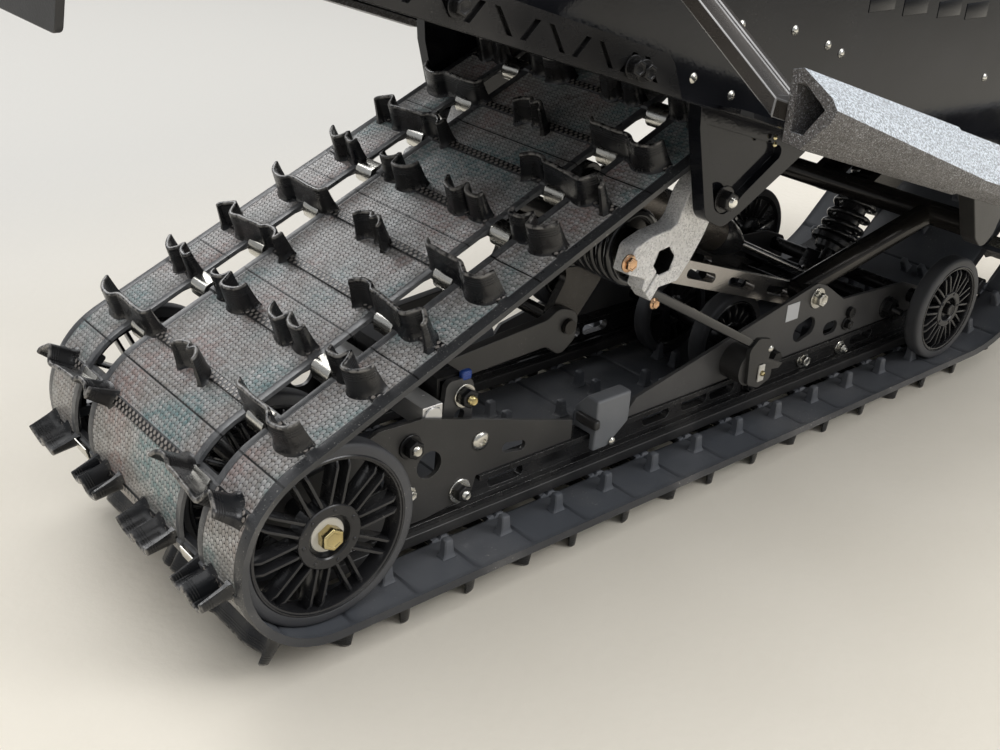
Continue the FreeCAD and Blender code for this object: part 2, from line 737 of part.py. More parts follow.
def build_shackles():
    """Links from the rear arm back to the black cross bar."""
    body = new_body("rear_shackle")
    sx, sz = SHACKLE
    bx, bz = BAR_BLACK
    sketch = new_sketch(body, "XZ_Plane", 60.5)
    back = bx + 15.3
    draw_outline(sketch, [(back, bz + 14, 3), (sx - 30, sz + 14, 20), (sx - 12, sz + 24, 18),
                          (sx + 16, sz + 14, 16), (sx + 14, sz - 18, 16), (sx - 8, sz - 34, 12),
                          (sx - 30, sz - 18, 14), (back, bz - 12, 3)])
    draw_circle(sketch, sx, sz, 8.3)
    pad(body, sketch, 12)
    finish_pair("rear_shackles", body)


def draw_ridges(sketch, start, step, turns, inner, outer, wire):
    """Half section of a coil's turns, one ridge a turn on a thin sleeve."""
    crest, valley, way = wire * 0.45, outer - wire * 1.1, 1.0 if step > 0 else -1.0
    points = [(start - way * wire, inner), (start - way * wire, valley)]
    for k in range(turns):
        middle = start + k * step
        points += [(middle - way * crest, outer), (middle + way * crest, outer)]
        if k < turns - 1:
            points.append((middle + step / 2, valley))
    last = start + (turns - 1) * step
    points += [(last + way * wire, valley), (last + way * wire, inner)]
    draw_outline(sketch, points)


def build_torsion_spring():
    """Close-wound coil with a straight flat leg that runs down to its cam."""
    hx, hz = HEX_TUBE
    wire = D["wire_d"] / 2
    lead = D["wire_d"] + 1.0
    body = new_body("torsion_spring", hx, -74.5 - wire, hz)
    turns = int(D["coil_turns"])
    inner, outer = D["coil_r"] - wire, D["coil_r"] + wire
    sketch = new_sketch(body, "YZ_Plane")
    draw_ridges(sketch, 0.0, -lead, turns, inner, outer, wire)
    revolve(body, sketch)
    far = lead * (turns - 1)
    run_x, run_z = CAM[0] - hx, CAM[1] - hz + D["coil_r"]
    clear = CAM_DRUM_R + wire + FIT
    tilt = math.atan2(run_z, run_x) + math.asin(clear / math.hypot(run_x, run_z))
    reach = math.hypot(run_x, run_z)
    tip_x, tip_z = reach * math.cos(tilt), reach * math.sin(tilt) - D["coil_r"]
    sx, sz = -math.sin(tilt) * wire, math.cos(tilt) * wire
    sketch = new_sketch(body, "XZ_Plane", far - wire)
    draw_outline(sketch, [(-6 + sx, -D["coil_r"] + sz), (-6 - sx, -D["coil_r"] - sz),
                          (tip_x - sx, tip_z - sz), (tip_x + sx, tip_z + sz)])
    pad(body, sketch, 2 * wire)
    return body


def build_spring_cam():
    """Drum and lobed cam plate that set the spring's preload."""
    cx, cz = CAM
    body = new_body("spring_cam")
    start = D["rail_y"] + D["rail_web"] / 2 + D["plate_thick"] + 0.2
    sketch = new_sketch(body, "XZ_Plane", start)
    draw_circle(sketch, cx, cz, CAM_DRUM_R)
    pad(body, sketch, 30)
    sketch = new_sketch(body, "XZ_Plane", start + 29)
    draw_outline(sketch, [(cx - 9, cz - 18, 8), (cx - 13, cz + 28, 10), (cx + 2, cz + 40, 8),
                          (cx + 30, cz + 33, 8), (cx + 25, cz + 8, 4), (cx + 54, cz - 5, 2),
                          (cx + 48, cz - 10, 2), (cx + 34, cz - 8, 4), (cx + 34, cz - 20, 8),
                          (cx + 12, cz - 27, 10)])
    draw_slot(sketch, cx + 11, cz - 12, cx + 13, cz, 5)
    pad(body, sketch, 6)
    finish_pair("spring_cams", body)


def build_spring_block():
    """Narrow block that saddles the rail, its lower front corner cut away."""
    body = new_body("spring_block")
    outer = D["rail_y"] + 24.0
    inner = D["rail_y"] - 12.0
    skirt = D["rail_y"] + D["flange_width"] / 2 + 1.0
    top = D["rail_top"] + 45.0
    seat = D["rail_top"] + 0.3
    sketch = new_sketch(body, "YZ_Plane", BLOCK_START)
    draw_outline(sketch, [
        (2 - outer, BLOCK_FOOT, 2), (-outer, top - 27), (-outer, top - 1, 2), (6 - outer, top, 2),
        (18 - outer, top, 2), (-inner, top - 20, 3), (-inner, seat), (-skirt, seat),
        (-skirt, BLOCK_FOOT)])
    pad(body, sketch, BLOCK_LENGTH)
    sketch = new_sketch(body, "XZ_Plane", outer + 1)
    front = BLOCK_START + BLOCK_LENGTH
    draw_outline(sketch, [(front - 33, BLOCK_FOOT - 3), (front + 3, BLOCK_FOOT - 3),
                          (front + 3, BLOCK_FOOT + 27)])
    pocket(body, sketch, outer + 1 - inner)
    finish_pair("spring_blocks", body)


def build_slotted_link():
    """Pressed link with a row of slots, from the rear arm to the front plate."""
    (ax, az), (bx, bz) = LINK_REAR, LINK_FRONT
    span = math.hypot(bx - ax, bz - az)
    ux, uz = (bx - ax) / span, (bz - az) / span
    body = new_body("slotted_link")
    sketch = new_sketch(body, "XZ_Plane", 61.0)
    half = 15.0
    draw_slot(sketch, ax, az, bx, bz, half)
    for x, z in (LINK_REAR, LINK_FRONT):
        draw_circle(sketch, x, z, 7.3)
    for k in range(4):
        first, last = 56 + k * 84, 56 + k * 84 + 44
        draw_slot(sketch, ax + ux * first, az + uz * first, ax + ux * last, az + uz * last, 6)
    pad(body, sketch, 14)
    finish_pair("slotted_links", body)


def build_link_pins():
    """Pins that carry the links' ends on the arm and the front plates."""
    reach = D["rail_y"] + D["rail_web"] / 2 + D["plate_thick"]
    front = new_body("link_pin_front")
    round_rod(front, LINK_FRONT[0], LINK_FRONT[1], 7.0, -reach - 6, reach + 6)
    rear = new_body("link_pin_rear")
    sketch = new_sketch(rear, "XZ_Plane", 60.2)
    draw_circle(sketch, LINK_REAR[0], LINK_REAR[1], 7.0)
    pad(rear, sketch, 20)
    finish("link_pin", front)
    finish_pair("link_studs", rear)


def shock_axes(first, last):
    """Length and pitch angle of a strut between two eyes."""
    dx, dz = last[0] - first[0], last[1] - first[1]
    return math.hypot(dx, dz), math.degrees(math.atan2(dz, dx))


def build_strut(label, first, last, profile, bores, fork=0.0):
    """A turned strut between two eyes; a fork at the first one where asked."""
    length, angle = shock_axes(first, last)
    body = new_body(label, first[0], 0.0, first[1])
    body.Placement = Placement(Vector(SHIFT + first[0], 0, LIFT + first[1]),
                               Rotation(Vector(0, 1, 0), -angle))
    sketch = new_sketch(body, "XZ_Plane")
    points = [(profile[0][0] * length, 0.0)]
    for start, end, radius in profile:
        points += [(start * length, radius), (end * length, radius)]
    points.append((profile[-1][1] * length, 0.0))
    draw_outline(sketch, points)
    revolve(body, sketch)
    for x, bore in zip((0.0, length), bores):
        if fork and not x:
            for offset in (-fork - 8.0, fork):
                sketch = new_sketch(body, "XZ_Plane", offset)
                draw_slot(sketch, 0.0, 0.0, profile[0][1] * length - 14, 0.0, bore + 6)
                pad(body, sketch, 8.0)
        else:
            sketch = new_sketch(body, "XZ_Plane", -12.0)
            draw_circle(sketch, x, 0.0, bore + 7)
            pad(body, sketch, 24)
        sketch = new_sketch(body, "XZ_Plane", 30.0)
        draw_circle(sketch, x, 0.0, bore)
        pocket(body, sketch, 60)
    return body


def build_rear_shock():
    """Large-bore rear damper."""
    r = D["shock_r"]
    profile = [(0.02, 0.07, 14.0), (0.07, 0.50, r), (0.50, 0.57, r - 4), (0.57, 0.60, 14.0),
               (0.60, 0.97, 7.0)]
    finish("rear_shock", build_strut(
        "rear_shock", SHOCK_REAR, FRONT_SHAFT, profile, (10.3, 10.3)))


# Front arm, shock and spring


def build_front_arm():
    """Two tubes between the front pivot and the torque tube, with an eye lever."""
    fx, fz = FRONT_PIVOT
    tx, tz = TORQUE_TUBE
    ex, ez = FRONT_EYE
    body = new_body("front_arm")
    round_rod(body, tx, tz, 16, -196, 196)
    for y_from, y_to in ((-107.2, -84.0), (84.0, 107.2)):
        round_rod(body, fx, fz, 12, y_from, y_to)
    for y in (-48.0, 36.0):
        sketch = new_sketch(body, "XZ_Plane", -y - 12)
        draw_outline(sketch, [(tx - 24, tz + 6, 18), (ex - 12, ez + 16, 14), (ex + 18, ez + 12, 14),
                              (ex + 12, ez - 18, 14), (tx + 14, tz - 26, 18)])
        pad(body, sketch, 12)
    round_rod(body, ex, ez, 7, -38, 38)
    span = math.hypot(tx - fx, tz - fz)
    angle = math.degrees(math.atan2(tz - fz, tx - fx))
    tubes = []
    for side in (-1, 1):
        tube = doc.addObject("Part::Cylinder", named("Tube"))
        tube.Radius = 15
        lean = math.degrees(math.atan2(46.0, span))
        tube.Height = math.hypot(span, 46.0)
        turn = Rotation(Vector(0, 1, 0), 90 - angle)
        splay = Rotation(Vector(1, 0, 0), -side * lean)
        tube.Placement = Placement(Vector(SHIFT + fx, side * 90.0, LIFT + fz), turn.multiply(splay))
        tubes.append(tube)
    fuse = doc.addObject("Part::MultiFuse", named("Fuse"))
    fuse.Shapes = [body] + tubes
    finish("front_arm", fuse)


def build_front_hanger():
    """Bracket that hangs the torque tube's end from the tunnel side."""
    tx, tz = TORQUE_TUBE
    body = new_body("front_hanger")
    sketch = new_sketch(body, "XZ_Plane", 196.3)
    draw_outline(sketch, [(tx - 60, edge_z(tx - 60) + 44, 6), (tx + 60, edge_z(tx + 60) + 44, 6),
                          (tx + 50, edge_z(tx + 60), 10), (tx + 22, tz - 8, 18),
                          (tx, tz - 26, 18), (tx - 22, tz - 8, 18), (tx - 54, edge_z(tx - 60), 10)])
    pad(body, sketch, D["tunnel_half"] - D["sheet_thick"] - 0.2 - 196.3)
    finish_pair("front_hangers", body)


def build_front_shock():
    """Front damper with its spring seat, and the reservoir beside it."""
    profile = [(0.19, 0.23, 24.0), (0.23, 0.27, 34.0), (0.27, 0.76, 19.0), (0.76, 0.80, 34.0),
               (0.80, 0.95, 20.0)]
    finish("front_shock", build_strut(
        "front_shock", FRONT_SHAFT, FRONT_EYE, profile, (10.3, 7.3), 14.0))


def build_front_spring():
    """Coil between the front damper's seats."""
    length, angle = shock_axes(FRONT_SHAFT, FRONT_EYE)
    body = new_body("front_spring", FRONT_SHAFT[0], 0.0, FRONT_SHAFT[1])
    body.Placement = Placement(Vector(SHIFT + FRONT_SHAFT[0], 0, LIFT + FRONT_SHAFT[1]),
                               Rotation(Vector(0, 1, 0), -angle))
    wire = 4.2
    start, end = 0.27 * length + wire + FIT, 0.76 * length - wire - FIT
    sketch = new_sketch(body, "XZ_Plane")
    turns = 6
    draw_ridges(sketch, start, (end - start) / (turns - 1), turns, 19.3, D["spring_r"], wire)
    revolve(body, sketch)
    finish("front_spring", body)


# Drive shaft


STUB_R = 12.5
STUB_LENGTH = 36.0


def build_drive_shaft():
    """Cross shaft with two toothed drivers that carry the belt's front end."""
    x, z = DRIVE
    body = new_body("drive_shaft", x, 0.0, z)
    shoulder = D["tunnel_half"] + 4
    round_rod(body, 0.0, 0.0, 15.0, -shoulder, shoulder)
    round_rod(body, 0.0, 0.0, STUB_R, -shoulder - STUB_LENGTH, shoulder + STUB_LENGTH)
    teeth = 8
    for y in (-62.0, 62.0):
        sketch = new_sketch(body, "XZ_Plane", -y - 14)
        points = []
        for k in range(teeth):
            for turn, reach in ((-13, -10), (-7, -FIT), (7, -FIT), (13, -10)):
                a = math.radians(360.0 / teeth * k + turn)
                radius = D["sprocket_r"] + reach
                points.append((radius * math.cos(a), radius * math.sin(a)))
        draw_outline(sketch, points)
        pad(body, sketch, 28)
    finish("drive_shaft", body)


# Tunnel


def tunnel_line(inset):
    """Side outline of the tunnel, drawn in from its top by an inset."""
    rear = -D["tunnel_rear"]
    return [(rear, edge_z(rear)), (KNEE_X, edge_z(KNEE_X)),
            (tunnel_front, edge_z(tunnel_front)), (tunnel_front, top_z(tunnel_front) - inset),
            (rear, top_z(rear) - inset)]


def build_tunnel():
    """Folded sheet channel over the track with the bulkhead bolt holes."""
    half, thick = D["tunnel_half"], D["sheet_thick"]
    body = new_body("tunnel")
    sketch = new_sketch(body, "XZ_Plane", -half)
    draw_outline(sketch, tunnel_line(0.0))
    pad(body, sketch, 2 * half, "Sizes.tunnel_half * 2")
    sketch = new_sketch(body, "XZ_Plane", half - thick)
    rear = -D["tunnel_rear"]
    inside = [(rear - 5, edge_z(rear) - 40), (KNEE_X, edge_z(KNEE_X) - 40),
              (tunnel_front + 5, edge_z(tunnel_front) - 40),
              (tunnel_front + 5, top_z(tunnel_front + 5) - thick), (rear - 5, top_z(rear - 5) - thick)]
    draw_outline(sketch, inside)
    pocket(body, sketch, 2 * (half - thick))
    sketch = new_sketch(body, "XZ_Plane", half + 1)
    draw_circle(sketch, CARRIER[0], CARRIER[1], D["axle_r"] + FIT)
    draw_circle(sketch, DRIVE[0], DRIVE[1], 15.3)
    for dx, dz in BULKHEAD_HOLES:
        draw_circle(sketch, BULKHEAD[0] + dx, BULKHEAD[1] + dz, 5.5)
    pocket(body, sketch, 2 * half + 2)
    finish("tunnel", body)


BULKHEAD = (drive_x + 70.0, 560.0)
BULKHEAD_HOLES = ((-40, -25), (40, -25), (40, 25), (-40, 25))


def build_truss_rail():
    """Pressed stiffener along the tunnel's lower edge with paired slanting grooves."""
    body = new_body("truss_rail")
    rear, tall = -D["tunnel_rear"] + 4, D["truss_height"]
    front = TRUSS_FRONT
    sketch = new_sketch(body, "XZ_Plane", D["tunnel_half"])
    draw_outline(sketch, [(rear, edge_z(rear) + 1), (front + 14, edge_z(front + 14) + 1),
                          (front, edge_z(front) + tall - 6), (front - 8, edge_z(front - 8) + tall),
                          (rear, edge_z(rear) + tall)])
    pad(body, sketch, TRUSS_THICK)
    sketch = new_sketch(body, "XZ_Plane", D["tunnel_half"] + TRUSS_THICK)
    bays = int((front - rear) // GROOVE_PITCH)
    first = front - 12 - bays * GROOVE_PITCH
    for k in range(bays):
        x = first + k * GROOVE_PITCH
        for foot, head in ((x, x + 15), (x + 42, x + 29)):
            corners = [(foot, 8.0), (foot + GROOVE_WIDE, 8.0), (head + GROOVE_WIDE, tall - 8),
                       (head, tall - 8)]
            draw_outline(sketch, [(px, edge_z(px) + pz) for px, pz in corners])
    pocket(body, sketch, GROOVE_DEEP)
    finish_pair("truss_rails", body)


def build_drop_bracket():
    """Dished bracket that hangs the idler arm from the tunnel side."""
    px, pz = IDLER_PIVOT
    body = new_body("drop_bracket")
    start = BRACKET_INNER
    outer = D["tunnel_half"] - D["sheet_thick"] - 0.2
    outline = [(374, edge_z(374) + 34, 6), (552, edge_z(552) + 34, 6), (546, edge_z(546) - 12, 8),
               (px + 22, pz - 16, 18), (px - 2, pz - 27, 16), (px - 30, pz - 14, 20),
               (378, edge_z(378) - 20, 6)]
    sketch = new_sketch(body, "XZ_Plane", start)
    draw_outline(sketch, outline)
    pad(body, sketch, outer - start)
    sketch = new_sketch(body, "XZ_Plane", outer)
    draw_outline(sketch, [(388, edge_z(388) - 14, 6), (516, edge_z(516) - 14, 8),
                          (px + 24, pz + 4, 14), (px - 2, pz - 15, 14), (px - 18, pz - 6, 12)])
    pocket(body, sketch, (outer - start) * 0.6)
    bolt = new_body("bracket_bolt")
    sketch = new_sketch(bolt, "XZ_Plane", ARM_INNER + 0.2)
    draw_circle(sketch, px, pz, PIVOT_BOLT_R)
    pad(bolt, sketch, outer - ARM_INNER - 3.8)
    spacer_start = ARM_INNER + D["arm_thick"] + FIT
    sketch = new_sketch(bolt, "XZ_Plane", spacer_start)
    draw_circle(sketch, px, pz, SPACER_R)
    pad(bolt, sketch, BRACKET_INNER - FIT - spacer_start)
    sketch = new_sketch(body, "XZ_Plane", start + 40)
    draw_circle(sketch, px, pz, PIVOT_BOLT_R + FIT)
    pocket(body, sketch, 60)
    finish_pair("drop_brackets", body)
    finish_pair("bracket_bolts", bolt)


# Running boards

BOARD_REAR = 240.0
BOARD_FRONT = 1300.0
BOARD_THICK = 4.0
TUBE_REAR = 270.0


def board_line(low, high, rear, front):
    """Side outline of a strip that follows the lower edge."""
    return [(rear, edge_z(rear) + low), (KNEE_X, edge_z(KNEE_X) + low),
            (front, edge_z(front) + low), (front, edge_z(front) + high),
            (KNEE_X, edge_z(KNEE_X) + high), (rear, edge_z(rear) + high)]


def build_running_board():
    """Foot board with a diagonal rear edge and rows of snow holes."""
    body = new_body("running_board")
    inner, outer = D["tunnel_half"] + 0.1, D["board_outer"] - 0.2
    sketch = new_sketch(body, "XZ_Plane", inner)
    draw_outline(sketch, board_line(2.0, 2.0 + BOARD_THICK, BOARD_REAR - 8, BOARD_FRONT))
    pad(body, sketch, outer - inner)
    sketch = new_sketch(body, "XY_Plane", 700.0)
    draw_outline(sketch, [(200, -inner + 5), (402, -inner + 5), (BOARD_REAR - 8, -outer + 12),
                          (BOARD_REAR - 8, -outer - 5), (200, -outer - 5)])
    for k in range(11):
        for y, lead in ((-262.0, 0.0), (-306.0, 40.0), (-350.0, 0.0)):
            x = 452 + 78 * k + lead
            draw_outline(sketch, [(x - 26, y), (x - 14, y + 14), (x + 14, y + 14), (x + 26, y),
                                  (x + 14, y - 14), (x - 14, y - 14)])
    pocket(body, sketch, 600)
    finish_pair("running_boards", body)


def draw_tube_section(sketch, shrink):
    """D-shaped section of the board's edge tube, offset inwards by an amount."""
    inner = D["board_outer"]
    base = [(-inner, 46), (-inner - 10, 49), (-inner - 38, 33), (-inner - 44, 25),
            (-inner - 40, 15), (-inner - 17, -10), (-inner, -8)]
    mid = (-inner - 19.0, 20.0)
    points = []
    for y, z in base:
        reach = math.hypot(y - mid[0], z - mid[1])
        scale = (reach - shrink) / reach
        points.append((mid[0] + (y - mid[0]) * scale, mid[1] + (z - mid[1]) * scale))
    draw_outline(sketch, points)


def build_board_tube(label, rear, front, grow):
    """Hollow edge tube swept along the board."""
    body = new_body(label, 0.0, 0.0, 0.0)
    path = new_sketch(body, "XZ_Plane")
    start = (rear, edge_z(rear))
    if rear < KNEE_X - 60 and front > KNEE_X + 60:
        knee = (KNEE_X, edge_z(KNEE_X))
        first, last, centre, radius = corner_cut(start, knee, (front, edge_z(front)), 500.0)
        draw_line(path, start, first)
        draw_arc(path, centre, radius, first, last)
        draw_line(path, last, (front, edge_z(front)))
    else:
        draw_line(path, start, (front, edge_z(front)))
    for shrink, kind in ((-grow, "PartDesign::AdditivePipe"),
                         (TUBE_WALL, "PartDesign::SubtractivePipe")):
        section = new_sketch(body, "YZ_Plane", rear)
        section.AttachmentOffset = Placement(Vector(0, edge_z(rear), rear), Rotation())
        draw_tube_section(section, shrink)
        feature = body.newObject(kind, named("Pipe"))
        feature.Profile = section
        feature.Spine = path
    return body


def build_board_tubes():
    """Rear cover and front run of the edge tube."""
    finish_pair("board_tube_covers", build_board_tube("tube_cover", TUBE_REAR, 505.0, 0.0))
    finish_pair("board_tubes", build_board_tube("board_tube", 505.3, BOARD_FRONT, -2.0))


def build_brace():
    """Flat strut with a sunk panel from the board's outer rear corner to the tunnel side."""
    first = Vector(SHIFT + 276, -400, LIFT + 512)
    last = Vector(SHIFT + 268, -200, LIFT + 651)
    span = last.sub(first)
    along = Vector(span).normalize()
    up = along.cross(Vector(-1, 0, EDGE_SLOPE)).normalize()
    side = up.cross(along).normalize()
    turn = Rotation(along, side, up, "XYZ")
    bar = doc.addObject("Part::Box", named("Bar"))
    bar.Length, bar.Width, bar.Height = span.Length, BRACE_WIDE, BRACE_THICK
    bar.Placement = Placement(first.sub(side * (BRACE_WIDE / 2)), turn)
    panel = doc.addObject("Part::Box", named("Panel"))
    panel.Length, panel.Width, panel.Height = span.Length, BRACE_WIDE - 18.0, BRACE_THICK
    sunk = first.sub(side * (BRACE_WIDE / 2 - 9.0)).add(along * 30.0).add(up * (BRACE_THICK - 3.0))
    panel.Placement = Placement(sunk, turn)
    shell = doc.addObject("Part::Cut", named("Shell"))
    shell.Base = bar
    shell.Tool = panel
    keep = doc.addObject("Part::Box", named("Keep"))
    keep.Length, keep.Height = 400, 400
    keep.Width = D["board_outer"] - D["tunnel_half"] - 0.6
    fall = Rotation(Vector(0, 1, 0), math.degrees(math.atan(EDGE_SLOPE)))
    corner = Vector(SHIFT + 100, 0.4 - D["board_outer"], LIFT + edge_z(100) + BOARD_TOP + 0.2)
    keep.Placement = Placement(corner, fall)
    cut = doc.addObject("Part::Common", named("Brace"))
    cut.Base = shell
    cut.Tool = keep
    finish_pair("braces", cut)


# Tail


def build_tail():
    """Cooler under the top sheet, rear bumper and snow flap."""
    thick = D["sheet_thick"]
    rear = -D["tunnel_rear"]
    body = new_body("cooler")
    sketch = new_sketch(body, "XZ_Plane", -120.0)
    first, last = rear + 30, tunnel_front - 60
    draw_outline(sketch, [(first, top_z(first) - thick - 0.2), (last, top_z(last) - thick - 0.2),
                          (last, top_z(last) - thick - 16), (first, top_z(first) - thick - 16)])
    pad(body, sketch, 240)
    finish("cooler", body)
    body = new_body("rear_bumper")
    level = top_z(rear) - 32
    path = new_sketch(body, "XY_Plane", level)
    half = D["tunnel_half"] + 13.0
    back = rear - D["bumper_reach"] + 12.0
    points = [(rear + 130, -half), (back, -half), (back, half), (rear + 130, half)]
    bends = [corner_cut(points[0], points[1], points[2], 60.0),
             corner_cut(points[1], points[2], points[3], 60.0)]
    draw_line(path, points[0], bends[0][0])
    draw_arc(path, bends[0][2], bends[0][3], bends[0][0], bends[0][1])
    draw_line(path, bends[0][1], bends[1][0])
    draw_arc(path, bends[1][2], bends[1][3], bends[1][0], bends[1][1])
    draw_line(path, bends[1][1], points[3])
    section = new_sketch(body, "YZ_Plane", rear + 130)
    draw_circle(section, -half, level, 12)
    feature = body.newObject("PartDesign::AdditivePipe", named("Pipe"))
    feature.Profile = section
    feature.Spine = path
    finish("rear_bumper", body)
    body = new_body("snow_flap")
    sketch = new_sketch(body, "YZ_Plane", rear - 6.3)
    wide = D["tunnel_half"] - 3
    low = 588.0
    draw_outline(sketch, [(-wide, top_z(rear) - 0.5), (-wide, low + 34, 4), (-wide + 18, low + 30, 4),
                          (-wide + 30, low, 8), (wide - 30, low, 8), (wide - 18, low + 30, 4),
                          (wide, low + 34, 4), (wide, top_z(rear) - 0.5)])
    pad(body, sketch, 6)
    finish("snow_flap", body)


# Build in order

build_track()
build_wheels()
build_axles()
build_rail()
build_runner()
build_rear_plate()
build_front_plate()
build_cross_bars()
build_post()
build_idler_arm()
build_rear_arm()
build_shackles()
finish_pair("torsion_springs", build_torsion_spring())
build_spring_cam()
build_spring_block()
build_slotted_link()
build_link_pins()
build_rear_shock()
build_front_arm()
build_front_hanger()
build_front_shock()
build_front_spring()
build_drive_shaft()
build_tunnel()
build_truss_rail()
build_drop_bracket()
build_running_board()
build_board_tubes()
build_brace()
build_tail()

doc.recompute()

for item in doc.Objects:
    if "Invalid" in item.State or "Error" in item.State:
        raise RuntimeError("%s is %s" % (item.Label, item.State))
for label, node in nodes:
    if node.Shape.isNull() or not node.Shape.isValid():
        raise RuntimeError("%s has no valid shape" % label)
    node.Shape.exportStep("parts/%s.step" % label)
print("nodes", len(nodes), "drive", round(drive_x, 1), "shift", round(SHIFT, 2))
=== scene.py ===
"""Visual model of a snowmobile's rear chassis, dressed round its fixed frame.

Stations are written in millimetres: X forward from the rear axle, Y to the left and
Z up, with that axle at 139.5. `station` turns them into metres in the shared frame.
"""

import json
import logging
import math
from contextlib import contextmanager
from dataclasses import dataclass, field
from enum import Enum
from typing import Callable, Iterator, Sequence

import bmesh
import bpy
import numpy as np
from mathutils import Matrix, Vector

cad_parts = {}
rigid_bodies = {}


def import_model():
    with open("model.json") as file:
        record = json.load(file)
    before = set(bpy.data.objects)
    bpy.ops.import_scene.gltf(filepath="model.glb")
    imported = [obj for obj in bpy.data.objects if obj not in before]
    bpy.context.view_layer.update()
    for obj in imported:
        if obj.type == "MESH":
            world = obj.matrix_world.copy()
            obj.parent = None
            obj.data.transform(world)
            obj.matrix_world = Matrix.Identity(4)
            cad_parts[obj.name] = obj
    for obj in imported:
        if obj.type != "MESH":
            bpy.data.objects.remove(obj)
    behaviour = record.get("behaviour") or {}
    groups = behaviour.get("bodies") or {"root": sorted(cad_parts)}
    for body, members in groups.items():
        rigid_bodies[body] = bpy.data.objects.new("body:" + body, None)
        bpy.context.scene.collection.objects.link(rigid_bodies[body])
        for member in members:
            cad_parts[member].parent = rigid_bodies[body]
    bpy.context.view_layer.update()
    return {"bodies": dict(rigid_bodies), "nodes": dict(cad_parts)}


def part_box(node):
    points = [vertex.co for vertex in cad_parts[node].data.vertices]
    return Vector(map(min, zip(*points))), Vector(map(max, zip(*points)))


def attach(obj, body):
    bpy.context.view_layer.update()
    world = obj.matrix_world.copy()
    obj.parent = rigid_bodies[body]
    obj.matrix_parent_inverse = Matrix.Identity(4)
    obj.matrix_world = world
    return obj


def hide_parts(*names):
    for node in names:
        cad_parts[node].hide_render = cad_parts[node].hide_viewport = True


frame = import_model()
BODY = next(iter(frame["bodies"]))
NODES = frame["nodes"]
MM = 0.001
MIRROR = Matrix.Diagonal((1, -1, 1, 1))
AXLE = (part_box("rear_axle")[0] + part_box("rear_axle")[1]) / 2
AXLE_HEIGHT = 139.5
WELD_GAP = 1e-5
RIDGE_SIDE = 0.415
RECESS_SKIN = 0.0012
log = logging.getLogger("rear_chassis")

Point2 = tuple[float, float]
Point3 = tuple[float, float, float]


def station(x: float, y: float, z: float) -> Vector:
    """Point of the shared frame, in metres, from stations in millimetres."""
    return Vector((AXLE.x + x * MM, y * MM, AXLE.z + (z - AXLE_HEIGHT) * MM))


